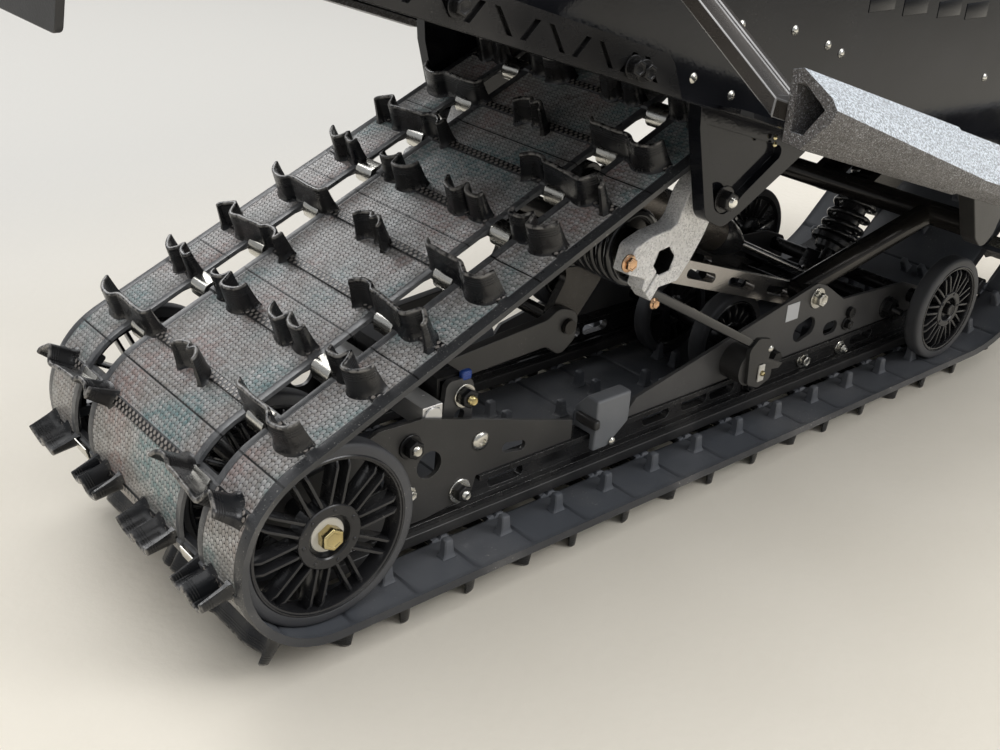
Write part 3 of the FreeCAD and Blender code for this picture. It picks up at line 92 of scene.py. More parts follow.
class Wires:
    """Wiring hand for one material's node tree.

    Args:
        name: Name of the material.
    """

    def __init__(self, name: str) -> None:
        self.material = bpy.data.materials.new(name)
        self.material.use_nodes = True
        self.tree = self.material.node_tree
        self.shader = self.tree.nodes["Principled BSDF"]
        self.place = self.add("ShaderNodeTexCoord").outputs["Object"]

    def add(self, kind: str, **settings: object) -> bpy.types.Node:
        """A new node with its plain settings."""
        node = self.tree.nodes.new(kind)
        for key, value in settings.items():
            setattr(node, key, value)
        return node

    def feed(self, node: bpy.types.Node, key: object, value: object) -> None:
        """Sets an input to a number, a colour or another node's output."""
        socket = node.inputs[key]
        if isinstance(value, bpy.types.NodeSocket):
            self.tree.links.new(value, socket)
        else:
            socket.default_value = value

    def maths(self, operation: str, a: object, b: object = 0.0,
              c: object = 0.0, clamp: bool = False) -> bpy.types.NodeSocket:
        """One arithmetic step on numbers or outputs."""
        node = self.add("ShaderNodeMath", operation=operation, use_clamp=clamp)
        for key, value in enumerate((a, b, c)):
            self.feed(node, key, value)
        return node.outputs[0]

    def times(self, a: object, b: object) -> bpy.types.NodeSocket:
        """Product of two numbers or outputs."""
        return self.maths("MULTIPLY", a, b)

    def split(self, value: object) -> bpy.types.bpy_prop_collection:
        """X, Y and Z of a vector, as outputs."""
        node = self.add("ShaderNodeSeparateXYZ")
        self.feed(node, 0, value)
        return node.outputs

    def vector(self, operation: str, a: object, b: object = (0, 0, 0),
               output: str = "Vector") -> bpy.types.NodeSocket:
        """One vector step."""
        node = self.add("ShaderNodeVectorMath", operation=operation)
        self.feed(node, 0, a)
        if operation not in ("LENGTH", "FRACTION"):
            self.feed(node, 1, b)
        return node.outputs[output]

    def noise(self, scale: float, detail: float = 3.0, stretch: Point3 = (1, 1, 1),
              at: object = None) -> bpy.types.NodeSocket:
        """Fractal noise at a scale per metre, stretched along the axes."""
        source = self.place if at is None else at
        source = self.vector("MULTIPLY", source, stretch)
        node = self.add("ShaderNodeTexNoise")
        self.feed(node, "Vector", source)
        self.feed(node, "Scale", scale)
        self.feed(node, "Detail", detail)
        return node.outputs["Fac"]

    def cells(self, scale: float, output: str = "Distance",
              at: object = None) -> bpy.types.NodeSocket:
        """Random cells at a scale per metre."""
        node = self.add("ShaderNodeTexVoronoi")
        self.feed(node, "Vector", self.place if at is None else at)
        self.feed(node, "Scale", scale)
        return node.outputs[output]

    def step(self, value: object, low: float, high: float,
             to_low: float = 0.0, to_high: float = 1.0) -> bpy.types.NodeSocket:
        """Smooth step from one range to another."""
        node = self.add("ShaderNodeMapRange", interpolation_type="SMOOTHSTEP")
        for key, item in enumerate((value, low, high, to_low, to_high)):
            self.feed(node, key, item)
        return node.outputs[0]

    def blend(self, factor: object, first: object, second: object) -> bpy.types.NodeSocket:
        """Colour between two colours."""
        node = self.add("ShaderNodeMix", data_type="RGBA")
        for key, value in ((0, factor), (6, first), (7, second)):
            if isinstance(value, tuple) and len(value) == 3:
                value = (*value, 1.0)
            self.feed(node, key, value)
        return node.outputs[2]

    def relief(self, height: object, distance: float, strength: float = 1.0,
               below: object = None) -> bpy.types.NodeSocket:
        """Bump from a height, on top of an earlier one."""
        node = self.add("ShaderNodeBump")
        self.feed(node, "Height", height)
        self.feed(node, "Distance", distance)
        self.feed(node, "Strength", strength)
        if below is not None:
            self.feed(node, "Normal", below)
        return node.outputs[0]

    def finish(self, colour: object, roughness: object, normal: object,
               metallic: float = 0.0, coat: float = 0.0) -> bpy.types.Material:
        """Connects the shader and hands back the material."""
        if isinstance(colour, tuple):
            colour = (*colour, 1.0)
        self.feed(self.shader, "Base Color", colour)
        self.feed(self.shader, "Roughness", roughness)
        self.feed(self.shader, "Normal", normal)
        self.shader.inputs["Metallic"].default_value = metallic
        if coat:
            self.shader.inputs["Coat Weight"].default_value = coat
            self.shader.inputs["Coat Roughness"].default_value = 0.12
        return self.material


def kept(build: Callable) -> Callable:
    """Makes a finish's material once and hands the same one back later."""
    def once(finish: object) -> bpy.types.Material:
        return bpy.data.materials.get(finish.name) or build(finish)
    return once


@dataclass(frozen=True)
class Finish:
    """An ordinary finish: two tones, a roughness band, a grain and scattered dust.

    Attributes:
        name: Name of the material.
        slot: Material slot of the record; not used.
        tone: Main colour.
        second: Colour that it drifts to.
        rough: Least and most roughness.
        metallic: Metal share.
        grain: Grain scale per metre and its depth in metres.
        stretch: Stretch of the grain along the axes.
        dust: Share of pale dust that lies on it.
        coat: Weight of a clear coat.
        gleam: Strength of the mirror part, 0.5 for a plain surface.
    """

    name: str
    slot: str
    tone: Point3
    second: Point3
    rough: Point2
    metallic: float = 0.0
    grain: Point2 = (900.0, 0.00008)
    stretch: Point3 = (1.0, 1.0, 1.0)
    dust: float = 0.12
    coat: float = 0.0
    gleam: float = 0.5

    @kept
    def build(self) -> bpy.types.Material:
        """The finish as a material."""
        w = Wires(self.name)
        w.shader.inputs["Specular IOR Level"].default_value = self.gleam
        drift = w.step(w.noise(9.0, 4.0), 0.35, 0.68)
        colour = w.blend(drift, self.tone, self.second)
        specks = w.step(w.noise(420.0, 2.0), 0.64, 0.74)
        patches = w.step(w.noise(14.0, 5.0), 0.45, 0.75)
        dust = w.maths("MULTIPLY", w.times(specks, patches), self.dust * 4, clamp=True)
        film = w.times(patches, self.dust * 0.35)
        colour = w.blend(w.maths("MAXIMUM", dust, film), colour, (0.36, 0.34, 0.31))
        scratch = w.step(w.noise(60.0, 6.0, (1.0, 1.0, 14.0)), 0.60, 0.72)
        smear = w.maths("ADD", w.times(w.noise(28.0, 5.0), 0.75), w.times(scratch, 0.25))
        roughness = w.step(smear, 0.25, 0.85, *self.rough)
        grain = w.noise(self.grain[0], 3.0, self.stretch)
        normal = w.relief(grain, self.grain[1])
        normal = w.relief(w.noise(22.0, 2.0), 0.0006, 0.25, normal)
        return w.finish(colour, roughness, normal, self.metallic, self.coat)


@dataclass(frozen=True)
class SparkleFinish(Finish):
    """A finish of small bright and dark grains, as on cast metal or sprayed grit.

    Attributes:
        grains: Grains per metre.
        height: Depth of the grains in metres.
        spark: Colour of the brightest grains.
        painted_top_highlight: Colour of the faces that look up, where it differs; a painted
            highlight that stands in for the ceiling's reflection.
        mottle: Share by which the coarser patches go dark.
    """

    grains: float = 900.0
    height: float = 0.0004
    spark: Point3 = (0.8, 0.8, 0.8)
    painted_top_highlight: Point3 = (0.0, 0.0, 0.0)
    mottle: float = 0.5

    @kept
    def build(self) -> bpy.types.Material:
        """The finish as a material."""
        w = Wires(self.name)
        cell = w.cells(self.grains, "Color")
        pick = w.add("ShaderNodeSeparateColor")
        w.feed(pick, 0, cell)
        bright = w.step(pick.outputs[0], 0.80, 0.95)
        drift = w.step(w.noise(30.0, 5.0), 0.35, 0.7)
        colour = w.blend(drift, self.tone, self.second)
        # Painted highlight: faces that look up take a pale colour in place of the ceiling's
        # reflection.
        if any(self.painted_top_highlight):
            facing = w.split(w.add("ShaderNodeNewGeometry").outputs["True Normal"])
            colour = w.blend(w.step(facing[2], 0.40, 0.56), colour, self.painted_top_highlight)
        patch = w.step(w.noise(self.grains * 0.42, 5.0), 0.56, 0.42)
        dark = tuple(channel * 0.25 for channel in self.tone)
        colour = w.blend(w.times(patch, self.mottle), colour, dark)
        colour = w.blend(w.times(bright, 0.7), colour, self.spark)
        round_grain = w.step(w.cells(self.grains), 0.6, 0.0)
        normal = w.relief(round_grain, self.height)
        normal = w.relief(w.noise(self.grains * 0.42, 5.0), self.height * 3.0, 0.8, normal)
        roughness = w.step(pick.outputs[1], 0.0, 1.0, *self.rough)
        return w.finish(colour, roughness, normal, self.metallic, self.coat)


@dataclass(frozen=True)
class ScaleRubber:
    """Belt rubber with rows of small raised scales that follow the belt's own map. Its colours
    hold painted sheen on the scale tops, painted light and shade on each scale and painted shade
    in the gaps.

    Attributes:
        name: Name of the material.
        slot: Material slot of the record.
        pitch: Length of one belt pitch in metres.
        first_row: Station of the first rib's middle in metres.
        scale: Distance between neighbouring scales in metres.
        dot: Distance between neighbouring dots on a rib in metres.
        dot_row: Distance of a row of dots from the rib's middle in metres.
        seam_shift: Share of a pitch by which the seams lie off the ribs.
    """

    name: str = "belt_scale_rubber"
    slot: str = "track_rubber"
    pitch: float = 0.072644
    first_row: float = 0.0186
    scale: float = 0.0056
    dot: float = 0.0073
    dot_row: float = 0.0021
    seam_shift: float = 0.502

    def lattice(self, w: Wires, at: bpy.types.NodeSocket, size: float) -> tuple:
        """Distance to the nearest point of a staggered lattice, and the offset along it."""
        tall = math.sqrt(3.0)
        base = w.vector("MULTIPLY", at, (1 / (size * tall), 1 / size, 0))
        found = []
        for shift in (0.0, 0.5):
            moved = w.vector("ADD", base, (shift, shift, 0))
            cell = w.vector("SUBTRACT", w.vector("FRACTION", moved), (0.5, 0.5, 0))
            cell = w.vector("MULTIPLY", cell, (tall, 1, 0))
            found.append((w.vector("LENGTH", cell, output="Value"), w.split(cell)[0]))
        nearer = w.maths("LESS_THAN", found[0][0], found[1][0])
        away = w.maths("MINIMUM", found[0][0], found[1][0])
        along = w.maths("ADD", w.times(found[0][1], nearer),
                        w.times(found[1][1], w.maths("SUBTRACT", 1.0, nearer)))
        return away, along

    @kept
    def build(self) -> bpy.types.Material:
        """The finish as a material."""
        w = Wires(self.name)
        belt = w.add("ShaderNodeUVMap", uv_map="belt").outputs[0]
        along, across, _ = w.split(belt)
        side = w.maths("ABSOLUTE", across)
        turn = w.maths("DIVIDE", w.maths("SUBTRACT", along, self.first_row), self.pitch)
        share = w.maths("FRACT", w.maths("ADD", turn, 0.5))
        from_row = w.times(w.maths("SUBTRACT", share, 0.5), self.pitch)
        near_row = w.maths("ABSOLUTE", from_row)
        centre_pads = w.step(side, 0.0885, 0.0875)
        outer_pads = w.times(w.step(side, 0.1370, 0.1380), w.step(side, 0.1905, 0.1885))
        pads = w.maths("MAXIMUM", centre_pads, outer_pads)
        ridge = w.step(near_row, 0.0056, 0.0050)
        scaled = w.times(pads, w.maths("SUBTRACT", 1.0, ridge))
        away, lean = self.lattice(w, belt, self.scale)
        scale_top = w.step(away, 0.56, 0.46)
        beside = w.maths("ADD", w.maths("DIVIDE", across, self.dot),
                         w.times(w.maths("GREATER_THAN", from_row, 0.0), 0.5))
        aside = w.times(w.maths("SUBTRACT", w.maths("FRACT", beside), 0.5), self.dot)
        ahead = w.maths("SUBTRACT", near_row, self.dot_row)
        from_dot = w.maths("SQRT", w.maths("ADD", w.times(aside, aside), w.times(ahead, ahead)))
        dot_top = w.step(from_dot, 0.0026, 0.0017)
        dots = w.times(ridge, pads)
        seam_turn = w.maths("FRACT", w.times(w.maths("SUBTRACT", turn, self.seam_shift), 0.5))
        seam = w.step(w.maths("ABSOLUTE", w.maths("SUBTRACT", seam_turn, 0.5)), 0.0062, 0.0048)
        plateau = w.times(scale_top, w.maths("ADD", 0.75, w.times(lean, 0.55)))
        dotted = w.times(dots, dot_top)
        height = w.maths("ADD", w.times(scaled, plateau), dotted)
        height = w.maths("SUBTRACT", height, w.times(seam, 1.2))
        # Painted sheen: the scale tops get a light rubber tone with teal and pink tints, and the
        # mottle mask blends in pale patches that stand in for the sky's reflection.
        tint = w.noise(11.0, 2.0)
        rubber_tone_and_sheen = w.blend(w.step(tint, 0.36, 0.52), (0.165, 0.262, 0.265), (0.285, 0.258, 0.235))
        rubber_tone_and_sheen = w.blend(w.step(tint, 0.54, 0.66), rubber_tone_and_sheen, (0.350, 0.255, 0.230))
        mottle = w.step(w.noise(160.0, 4.0), 0.3, 0.75)
        top = w.blend(mottle, rubber_tone_and_sheen, (0.50, 0.49, 0.48))
        # Painted light and shade: each scale's colour runs darker on one side and lighter on the
        # other.
        top = w.vector("MULTIPLY", top, w.step(lean, -0.40, 0.40, 0.74, 1.22))
        ridge_tone = w.blend(mottle, (0.24, 0.215, 0.19), (0.44, 0.40, 0.37))
        top = w.blend(dots, top, ridge_tone)
        raised = w.maths("MAXIMUM", w.times(scaled, scale_top), dotted)
        bare = w.maths("SUBTRACT", 1.0, pads)
        raised = w.maths("MAXIMUM", raised, bare)
        smooth_tone = w.blend(mottle, (0.075, 0.077, 0.080), (0.130, 0.130, 0.130))
        margin = w.step(side, 0.1885, 0.1905)
        smooth_tone = w.blend(margin, smooth_tone, (0.036, 0.037, 0.039))
        top = w.blend(bare, top, smooth_tone)
        # Painted shade: the gaps between the raised scales and dots are near black.
        colour = w.blend(raised, (0.004, 0.004, 0.005), top)
        colour = w.blend(seam, colour, (0.008, 0.008, 0.008))
        dust = w.times(w.step(w.noise(700.0, 2.0), 0.66, 0.72),
                       w.maths("MAXIMUM", margin, w.step(w.noise(18.0, 4.0), 0.5, 0.7)))
        colour = w.blend(w.times(dust, 0.6), colour, (0.5, 0.48, 0.45))
        roughness = w.step(w.noise(60.0, 4.0), 0.2, 0.8, 0.24, 0.42)
        normal = w.relief(height, 0.0022, 1.0)
        normal = w.relief(w.noise(1400.0, 3.0), 0.00012, 0.7, normal)
        return w.finish(colour, roughness, normal)


@dataclass(frozen=True)
class PaddleRubber:
    """Moulded lug rubber with thin cast lines below its worn pale tip.

    Attributes:
        name: Name of the material.
        slot: Material slot of the record; not used.
        cast_lines: Heights of the cast lines over the belt in metres.
    """

    name: str = "paddle_rubber"
    slot: str = "track_rubber"
    cast_lines: tuple[float, ...] = (0.0190, 0.0214, 0.0238)

    @kept
    def build(self) -> bpy.types.Material:
        """The finish as a material."""
        w = Wires(self.name)
        reach = w.add("ShaderNodeAttribute", attribute_name="reach").outputs["Fac"]
        drift = w.noise(24.0, 4.0)
        colour = w.blend(w.step(drift, 0.35, 0.65), (0.008, 0.009, 0.011), (0.017, 0.016, 0.016))
        worn = w.times(w.step(reach, 0.0262, 0.0284), w.step(w.noise(180.0, 3.0), 0.35, 0.6))
        colour = w.blend(w.times(worn, 0.85), colour, (0.26, 0.245, 0.225))
        lines = None
        for height in self.cast_lines:
            line = w.step(w.maths("ABSOLUTE", w.maths("SUBTRACT", reach, height)), 0.0007, 0.0003)
            lines = line if lines is None else w.maths("MAXIMUM", lines, line)
        foot = w.step(reach, 0.006, 0.0)
        dust = w.times(w.step(w.noise(500.0, 2.0), 0.62, 0.7), foot)
        colour = w.blend(w.times(dust, 0.5), colour, (0.34, 0.32, 0.29))
        normal = w.relief(lines, 0.0005, 0.6)
        normal = w.relief(w.noise(900.0, 3.0), 0.0001, 0.8, normal)
        normal = w.relief(w.noise(70.0, 3.0), 0.0007, 0.35, normal)
        roughness = w.step(w.noise(45.0, 4.0), 0.25, 0.8, 0.20, 0.38)
        return w.finish(colour, roughness, normal)


RUBBER = Finish("smooth_rubber", "track_rubber", (0.082, 0.089, 0.101), (0.118, 0.123, 0.133),
                (0.40, 0.60), grain=(1200.0, 0.0001), dust=0.24)
BELT_EDGE = Finish("belt_edge_rubber", "track_rubber", (0.028, 0.029, 0.032),
                   (0.046, 0.047, 0.050), (0.34, 0.50), grain=(900.0, 0.0002), dust=0.45)
TYRE = Finish("wheel_tyre_rubber", "wheel_black", (0.045, 0.046, 0.050), (0.070, 0.071, 0.076),
              (0.50, 0.66), grain=(700.0, 0.00015), dust=0.14)
MOULDED = Finish("moulded_wheel_black", "wheel_black", (0.012, 0.012, 0.013),
                 (0.022, 0.022, 0.024), (0.20, 0.34), grain=(500.0, 0.00006), dust=0.10)
GLOSS = Finish("gloss_black_paint", "gloss_black", (0.006, 0.0065, 0.008), (0.009, 0.0095, 0.012),
               (0.09, 0.18), grain=(260.0, 0.00005), dust=0.03, gleam=0.3)
PLATE = Finish("dark_plate_paint", "dark_plate", (0.030, 0.029, 0.028), (0.042, 0.040, 0.038),
               (0.34, 0.46), grain=(1500.0, 0.00008), dust=0.10)
FRONT_PLATE = Finish("front_plate_paint", "dark_plate", (0.058, 0.057, 0.057),
                     (0.078, 0.076, 0.075), (0.32, 0.44), grain=(1500.0, 0.00008), dust=0.12)
# Bright metal colour laid on the eased edges of dark parts: a painted highlight where the edges
# catch the light.
EDGE_HIGHLIGHT = Finish("painted_edge_highlight", "rail_black", (0.30, 0.295, 0.29), (0.50, 0.49, 0.48),
                   (0.26, 0.40), metallic=0.7, grain=(900.0, 0.00005), dust=0.1)
RAIL = Finish("black_anodised_rail", "rail_black", (0.014, 0.014, 0.015), (0.026, 0.025, 0.025),
              (0.24, 0.40), metallic=0.35, grain=(500.0, 0.00005), stretch=(0.05, 1.0, 1.0),
              dust=0.16)
RUNNER = Finish("worn_runner_plastic", "runner_plastic", (0.020, 0.020, 0.021),
                (0.034, 0.033, 0.032), (0.38, 0.55), grain=(300.0, 0.0002),
                stretch=(0.08, 1.0, 1.0), dust=0.2)
CAST = SparkleFinish("cast_alloy_grain", "cast_alloy", (0.85, 0.84, 0.83), (0.92, 0.91, 0.90),
                     (0.24, 0.50), metallic=0.18, grains=620.0, height=0.0005,
                     spark=(0.98, 0.98, 0.97), mottle=0.16)
BRIGHT = Finish("brushed_bright_alloy", "bright_alloy", (0.56, 0.55, 0.54), (0.66, 0.65, 0.63),
                (0.20, 0.36), metallic=1.0, grain=(900.0, 0.00006), stretch=(0.06, 1.0, 1.0),
                dust=0.05)
POLISHED = Finish("polished_tube", "bright_alloy", (0.74, 0.73, 0.71), (0.82, 0.81, 0.79),
                  (0.18, 0.30), metallic=0.55, grain=(900.0, 0.00005),
                  stretch=(1.0, 0.06, 1.0), dust=0.03)
ZINC = Finish("zinc_plate", "zinc_steel", (0.62, 0.60, 0.54), (0.74, 0.73, 0.68),
              (0.22, 0.40), metallic=1.0, grain=(420.0, 0.00012), dust=0.12)
YELLOW_ZINC = Finish("yellow_zinc", "zinc_steel", (0.58, 0.47, 0.22), (0.70, 0.62, 0.38),
                     (0.22, 0.38), metallic=1.0, grain=(700.0, 0.00008), dust=0.05)
COPPER_ZINC = Finish("copper_zinc", "zinc_steel", (0.62, 0.38, 0.22), (0.72, 0.52, 0.36),
                     (0.22, 0.40), metallic=1.0, grain=(700.0, 0.00008), dust=0.05)
BLACK_STEEL = Finish("black_oxide_steel", "spring_black", (0.016, 0.016, 0.017),
                     (0.030, 0.029, 0.029), (0.26, 0.40), metallic=0.5,
                     grain=(900.0, 0.00006), dust=0.08)
SPRING = Finish("spring_enamel", "spring_black", (0.008, 0.008, 0.009), (0.013, 0.013, 0.014),
                (0.14, 0.24), grain=(300.0, 0.00005), dust=0.06, coat=0.4)
LINK = Finish("polished_link", "bright_alloy", (0.40, 0.375, 0.35), (0.50, 0.475, 0.45),
              (0.16, 0.28), metallic=0.85, grain=(700.0, 0.00005), stretch=(0.05, 1.0, 1.0),
              dust=0.04)
PALE = Finish("pale_patch", "zinc_steel", (0.72, 0.73, 0.75), (0.78, 0.79, 0.80), (0.45, 0.60),
              grain=(900.0, 0.00004), dust=0.05)
BRONZE = Finish("bronze_grey_tube", "damper_bronze", (0.070, 0.062, 0.054), (0.105, 0.092, 0.080),
                (0.26, 0.36), metallic=0.6, grain=(800.0, 0.00005), dust=0.05)
ARM_TUBE = Finish("satin_arm_tube", "damper_bronze", (0.026, 0.024, 0.022), (0.046, 0.042, 0.038),
                  (0.20, 0.30), metallic=0.55, grain=(800.0, 0.00004), dust=0.06)
BLOCK = Finish("grey_block", "block_grey", (0.145, 0.152, 0.163), (0.185, 0.191, 0.200),
               (0.36, 0.50), grain=(420.0, 0.00012), stretch=(0.15, 1.0, 1.0), dust=0.10)
FLAP = Finish("flap_rubber", "flap_black", (0.018, 0.018, 0.019), (0.028, 0.028, 0.029),
              (0.44, 0.60), grain=(600.0, 0.0002), dust=0.12)
# Sprayed grit; its pale blue-white top colour is a painted highlight on the faces that look up.
GRIT = SparkleFinish("sprayed_grit", "grip_grey", (0.125, 0.116, 0.112), (0.165, 0.156, 0.152),
                     (0.26, 0.46), grains=1250.0, height=0.0005, spark=(0.50, 0.51, 0.53),
                     painted_top_highlight=(0.86, 0.92, 0.98), mottle=0.55)
CREAM = Finish("cream_washer", "zinc_steel", (0.62, 0.59, 0.52), (0.72, 0.70, 0.64),
               (0.40, 0.55), grain=(500.0, 0.00008), dust=0.1)
BLUE = Finish("blue_tab", "dark_plate", (0.02, 0.06, 0.28), (0.03, 0.09, 0.36),
              (0.25, 0.35), grain=(500.0, 0.00005), dust=0.04)


class Bench:
    """Hand operations on one object at a time."""

    @staticmethod
    def clear() -> None:
        """Leaves edit mode and drops every selection."""
        if bpy.context.object and bpy.context.object.mode != "OBJECT":
            bpy.ops.object.mode_set(mode="OBJECT")
        bpy.ops.object.select_all(action="DESELECT")

    @staticmethod
    def take(*pieces: bpy.types.Object) -> bpy.types.Object:
        """Selects pieces and makes the first one active."""
        Bench.clear()
        for piece in pieces:
            piece.select_set(True)
        bpy.context.view_layer.objects.active = pieces[0]
        return pieces[0]

    @staticmethod
    def edit(piece: bpy.types.Object, mode: str = "FACE") -> None:
        """Opens a piece in edit mode with nothing selected."""
        Bench.take(piece)
        bpy.ops.object.mode_set(mode="EDIT")
        bpy.ops.mesh.select_mode(type=mode)
        bpy.ops.mesh.select_all(action="DESELECT")

    @staticmethod
    def pick(piece: bpy.types.Object, test: Callable[[Vector, Vector], bool]) -> None:
        """Adds faces to the selection by their centre and normal."""
        mesh = bmesh.from_edit_mesh(piece.data)
        for face in mesh.faces:
            if test(face.calc_center_median(), face.normal):
                face.select_set(True)
        mesh.select_flush_mode()
        bmesh.update_edit_mesh(piece.data)

    @staticmethod
    @contextmanager
    def opened(piece: bpy.types.Object) -> Iterator[None]:
        """Edit mode with the whole of a piece selected, closed again afterwards."""
        Bench.edit(piece, "VERT")
        bpy.ops.mesh.select_all(action="SELECT")
        yield
        bpy.ops.object.mode_set(mode="OBJECT")

    @staticmethod
    def mend(piece: bpy.types.Object) -> None:
        """Merges doubles and turns every face outward."""
        with Bench.opened(piece):
            bpy.ops.mesh.remove_doubles(threshold=WELD_GAP)
            bpy.ops.mesh.normals_make_consistent(inside=False)

    @staticmethod
    def modify(piece: bpy.types.Object, kind: str, **settings: object) -> None:
        """Adds a modifier and applies it."""
        Bench.take(piece)
        modifier = piece.modifiers.new(kind.title(), kind)
        for key, value in settings.items():
            setattr(modifier, key, value)
        bpy.ops.object.modifier_apply(modifier=modifier.name)

    @staticmethod
    def ease(piece: bpy.types.Object, width: float, segments: int = 2, angle: float = 40.0,
             material: int = -1) -> None:
        """Rounds the edges that are sharper than an angle, to a width in millimetres."""
        Bench.modify(piece, "BEVEL", width=width * MM, segments=segments, limit_method="ANGLE",
                     angle_limit=math.radians(angle), material=material)

    @staticmethod
    def smooth(piece: bpy.types.Object, angle: float = 35.0) -> None:
        """Smooth shading with sharp edges kept."""
        Bench.take(piece)
        bpy.ops.object.shade_smooth_by_angle(angle=math.radians(angle))

    @staticmethod
    def join(pieces: Sequence[bpy.types.Object], name: str) -> bpy.types.Object:
        """One object from several."""
        whole = Bench.take(*pieces)
        if len(pieces) > 1:
            bpy.ops.object.join()
        whole.name = name
        whole.data.name = name
        return whole

    @staticmethod
    def stand(name: str, data: bpy.types.ID) -> bpy.types.Object:
        """A new object in the scene for a mesh, curve, camera or lamp."""
        piece = bpy.data.objects.new(name, data)
        bpy.context.scene.collection.objects.link(piece)
        return piece

    @staticmethod
    def mesh(name: str, verts: Sequence, faces: Sequence) -> bpy.types.Object:
        """A new mesh object from its points."""
        data = bpy.data.meshes.new(name)
        data.from_pydata([tuple(v) for v in verts], [], [tuple(f) for f in faces])
        return Bench.stand(name, data)

    @staticmethod
    def copies(proto: bpy.types.Object, places: Sequence[Matrix], name: str) -> bpy.types.Object:
        """One joined mesh of copies of a prototype, which is used up.

        Args:
            proto: Finished prototype.
            places: One matrix for each copy.
            name: Name of the joined piece.

        Returns:
            The joined piece, at the origin.
        """
        made = []
        for place in places:
            piece = proto.copy()
            piece.data = proto.data.copy()
            piece.data.transform(place)
            if place.determinant() < 0:
                piece.data.flip_normals()
            bpy.context.scene.collection.objects.link(piece)
            made.append(piece)
        bpy.data.objects.remove(proto)
        return Bench.join(made, name)

    @staticmethod
    def pair(proto: bpy.types.Object, seat: Matrix, name: str) -> bpy.types.Object:
        """A prototype at its right-hand seat, joined with its mirror image."""
        return Bench.copies(proto, [seat, MIRROR @ seat], name)

    @staticmethod
    def lathe(name: str, profile: Sequence[Point2], sides: int = 48) -> bpy.types.Object:
        """A turned ring round the Y axis, drawn circle by circle and closed on the first.

        Args:
            name: Name of the piece.
            profile: Station along Y and radius of each circle, in millimetres.
            sides: Sides of every circle.

        Returns:
            The turned piece.
        """
        rings = [(y * MM, radius * MM) for y, radius in profile]
        first = rings[0]
        Bench.clear()
        bpy.ops.mesh.primitive_circle_add(vertices=sides, radius=first[1],
                                          location=(0, first[0], 0),
                                          rotation=(math.pi / 2, 0, 0))
        piece = bpy.context.object
        piece.name = name
        bpy.ops.object.transform_apply(location=True, rotation=True, scale=True)
        bpy.ops.object.mode_set(mode="EDIT")
        bpy.ops.mesh.select_mode(type="EDGE")
        bpy.ops.mesh.select_all(action="SELECT")
        here = first
        for ring in [*rings[1:], first]:
            bpy.ops.mesh.extrude_region_move(
                TRANSFORM_OT_translate={"value": (0, ring[0] - here[0], 0)})
            ratio = ring[1] / here[1]
            bpy.ops.transform.resize(value=(ratio, 1, ratio), center_override=(0, ring[0], 0))
            here = ring
        bpy.ops.object.mode_set(mode="OBJECT")
        Bench.mend(piece)
        return piece

    @staticmethod
    def tube(name: str, points: Sequence[Vector], radius: float) -> bpy.types.Object:
        """A round tube along points, as a mesh.

        Args:
            name: Name of the piece.
            points: Places the tube runs through or near.
            radius: Radius of the tube in metres.

        Returns:
            The tube as a mesh.
        """
        curve = bpy.data.curves.new(name, "CURVE")
        curve.dimensions = "3D"
        curve.bevel_depth = radius
        curve.bevel_resolution = 4
        curve.use_fill_caps = True
        curve.resolution_u = 4
        spline = curve.splines.new("NURBS")
        spline.points.add(len(points) - 1)
        for slot, point in zip(spline.points, points):
            slot.co = (*point, 1.0)
        spline.order_u = 3
        spline.use_endpoint_u = True
        Bench.take(Bench.stand(name, curve))
        bpy.ops.object.convert(target="MESH")
        made = bpy.context.object
        Bench.mend(made)
        return made

    @staticmethod
    def block(name: str, size: Point3, bevel: float, segments: int = 2) -> bpy.types.Object:
        """A box with rounded edges, centred on the origin."""
        Bench.clear()
        bpy.ops.mesh.primitive_cube_add(size=1.0, location=(0, 0, 0))
        piece = bpy.context.object
        piece.name = name
        piece.data.transform(Matrix.Diagonal((*size, 1.0)))
        Bench.modify(piece, "BEVEL", width=bevel, segments=segments)
        return piece

    @staticmethod
    def dress(piece: bpy.types.Object, finish: object, *nodes: str,
              angle: float = 35.0) -> bpy.types.Object:
        """Shades a piece, gives it its finish and seats it on the body.

        Args:
            piece: Finished piece.
            finish: Finish of its whole surface.
            nodes: CAD nodes that it stands for.
            angle: Edge angle past which shading stays sharp.

        Returns:
            The piece.
        """
        Bench.smooth(piece, angle)
        piece.data.materials.clear()
        piece.data.materials.append(finish.build())
        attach(piece, BODY)
        if nodes:
            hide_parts(*nodes)
        return piece


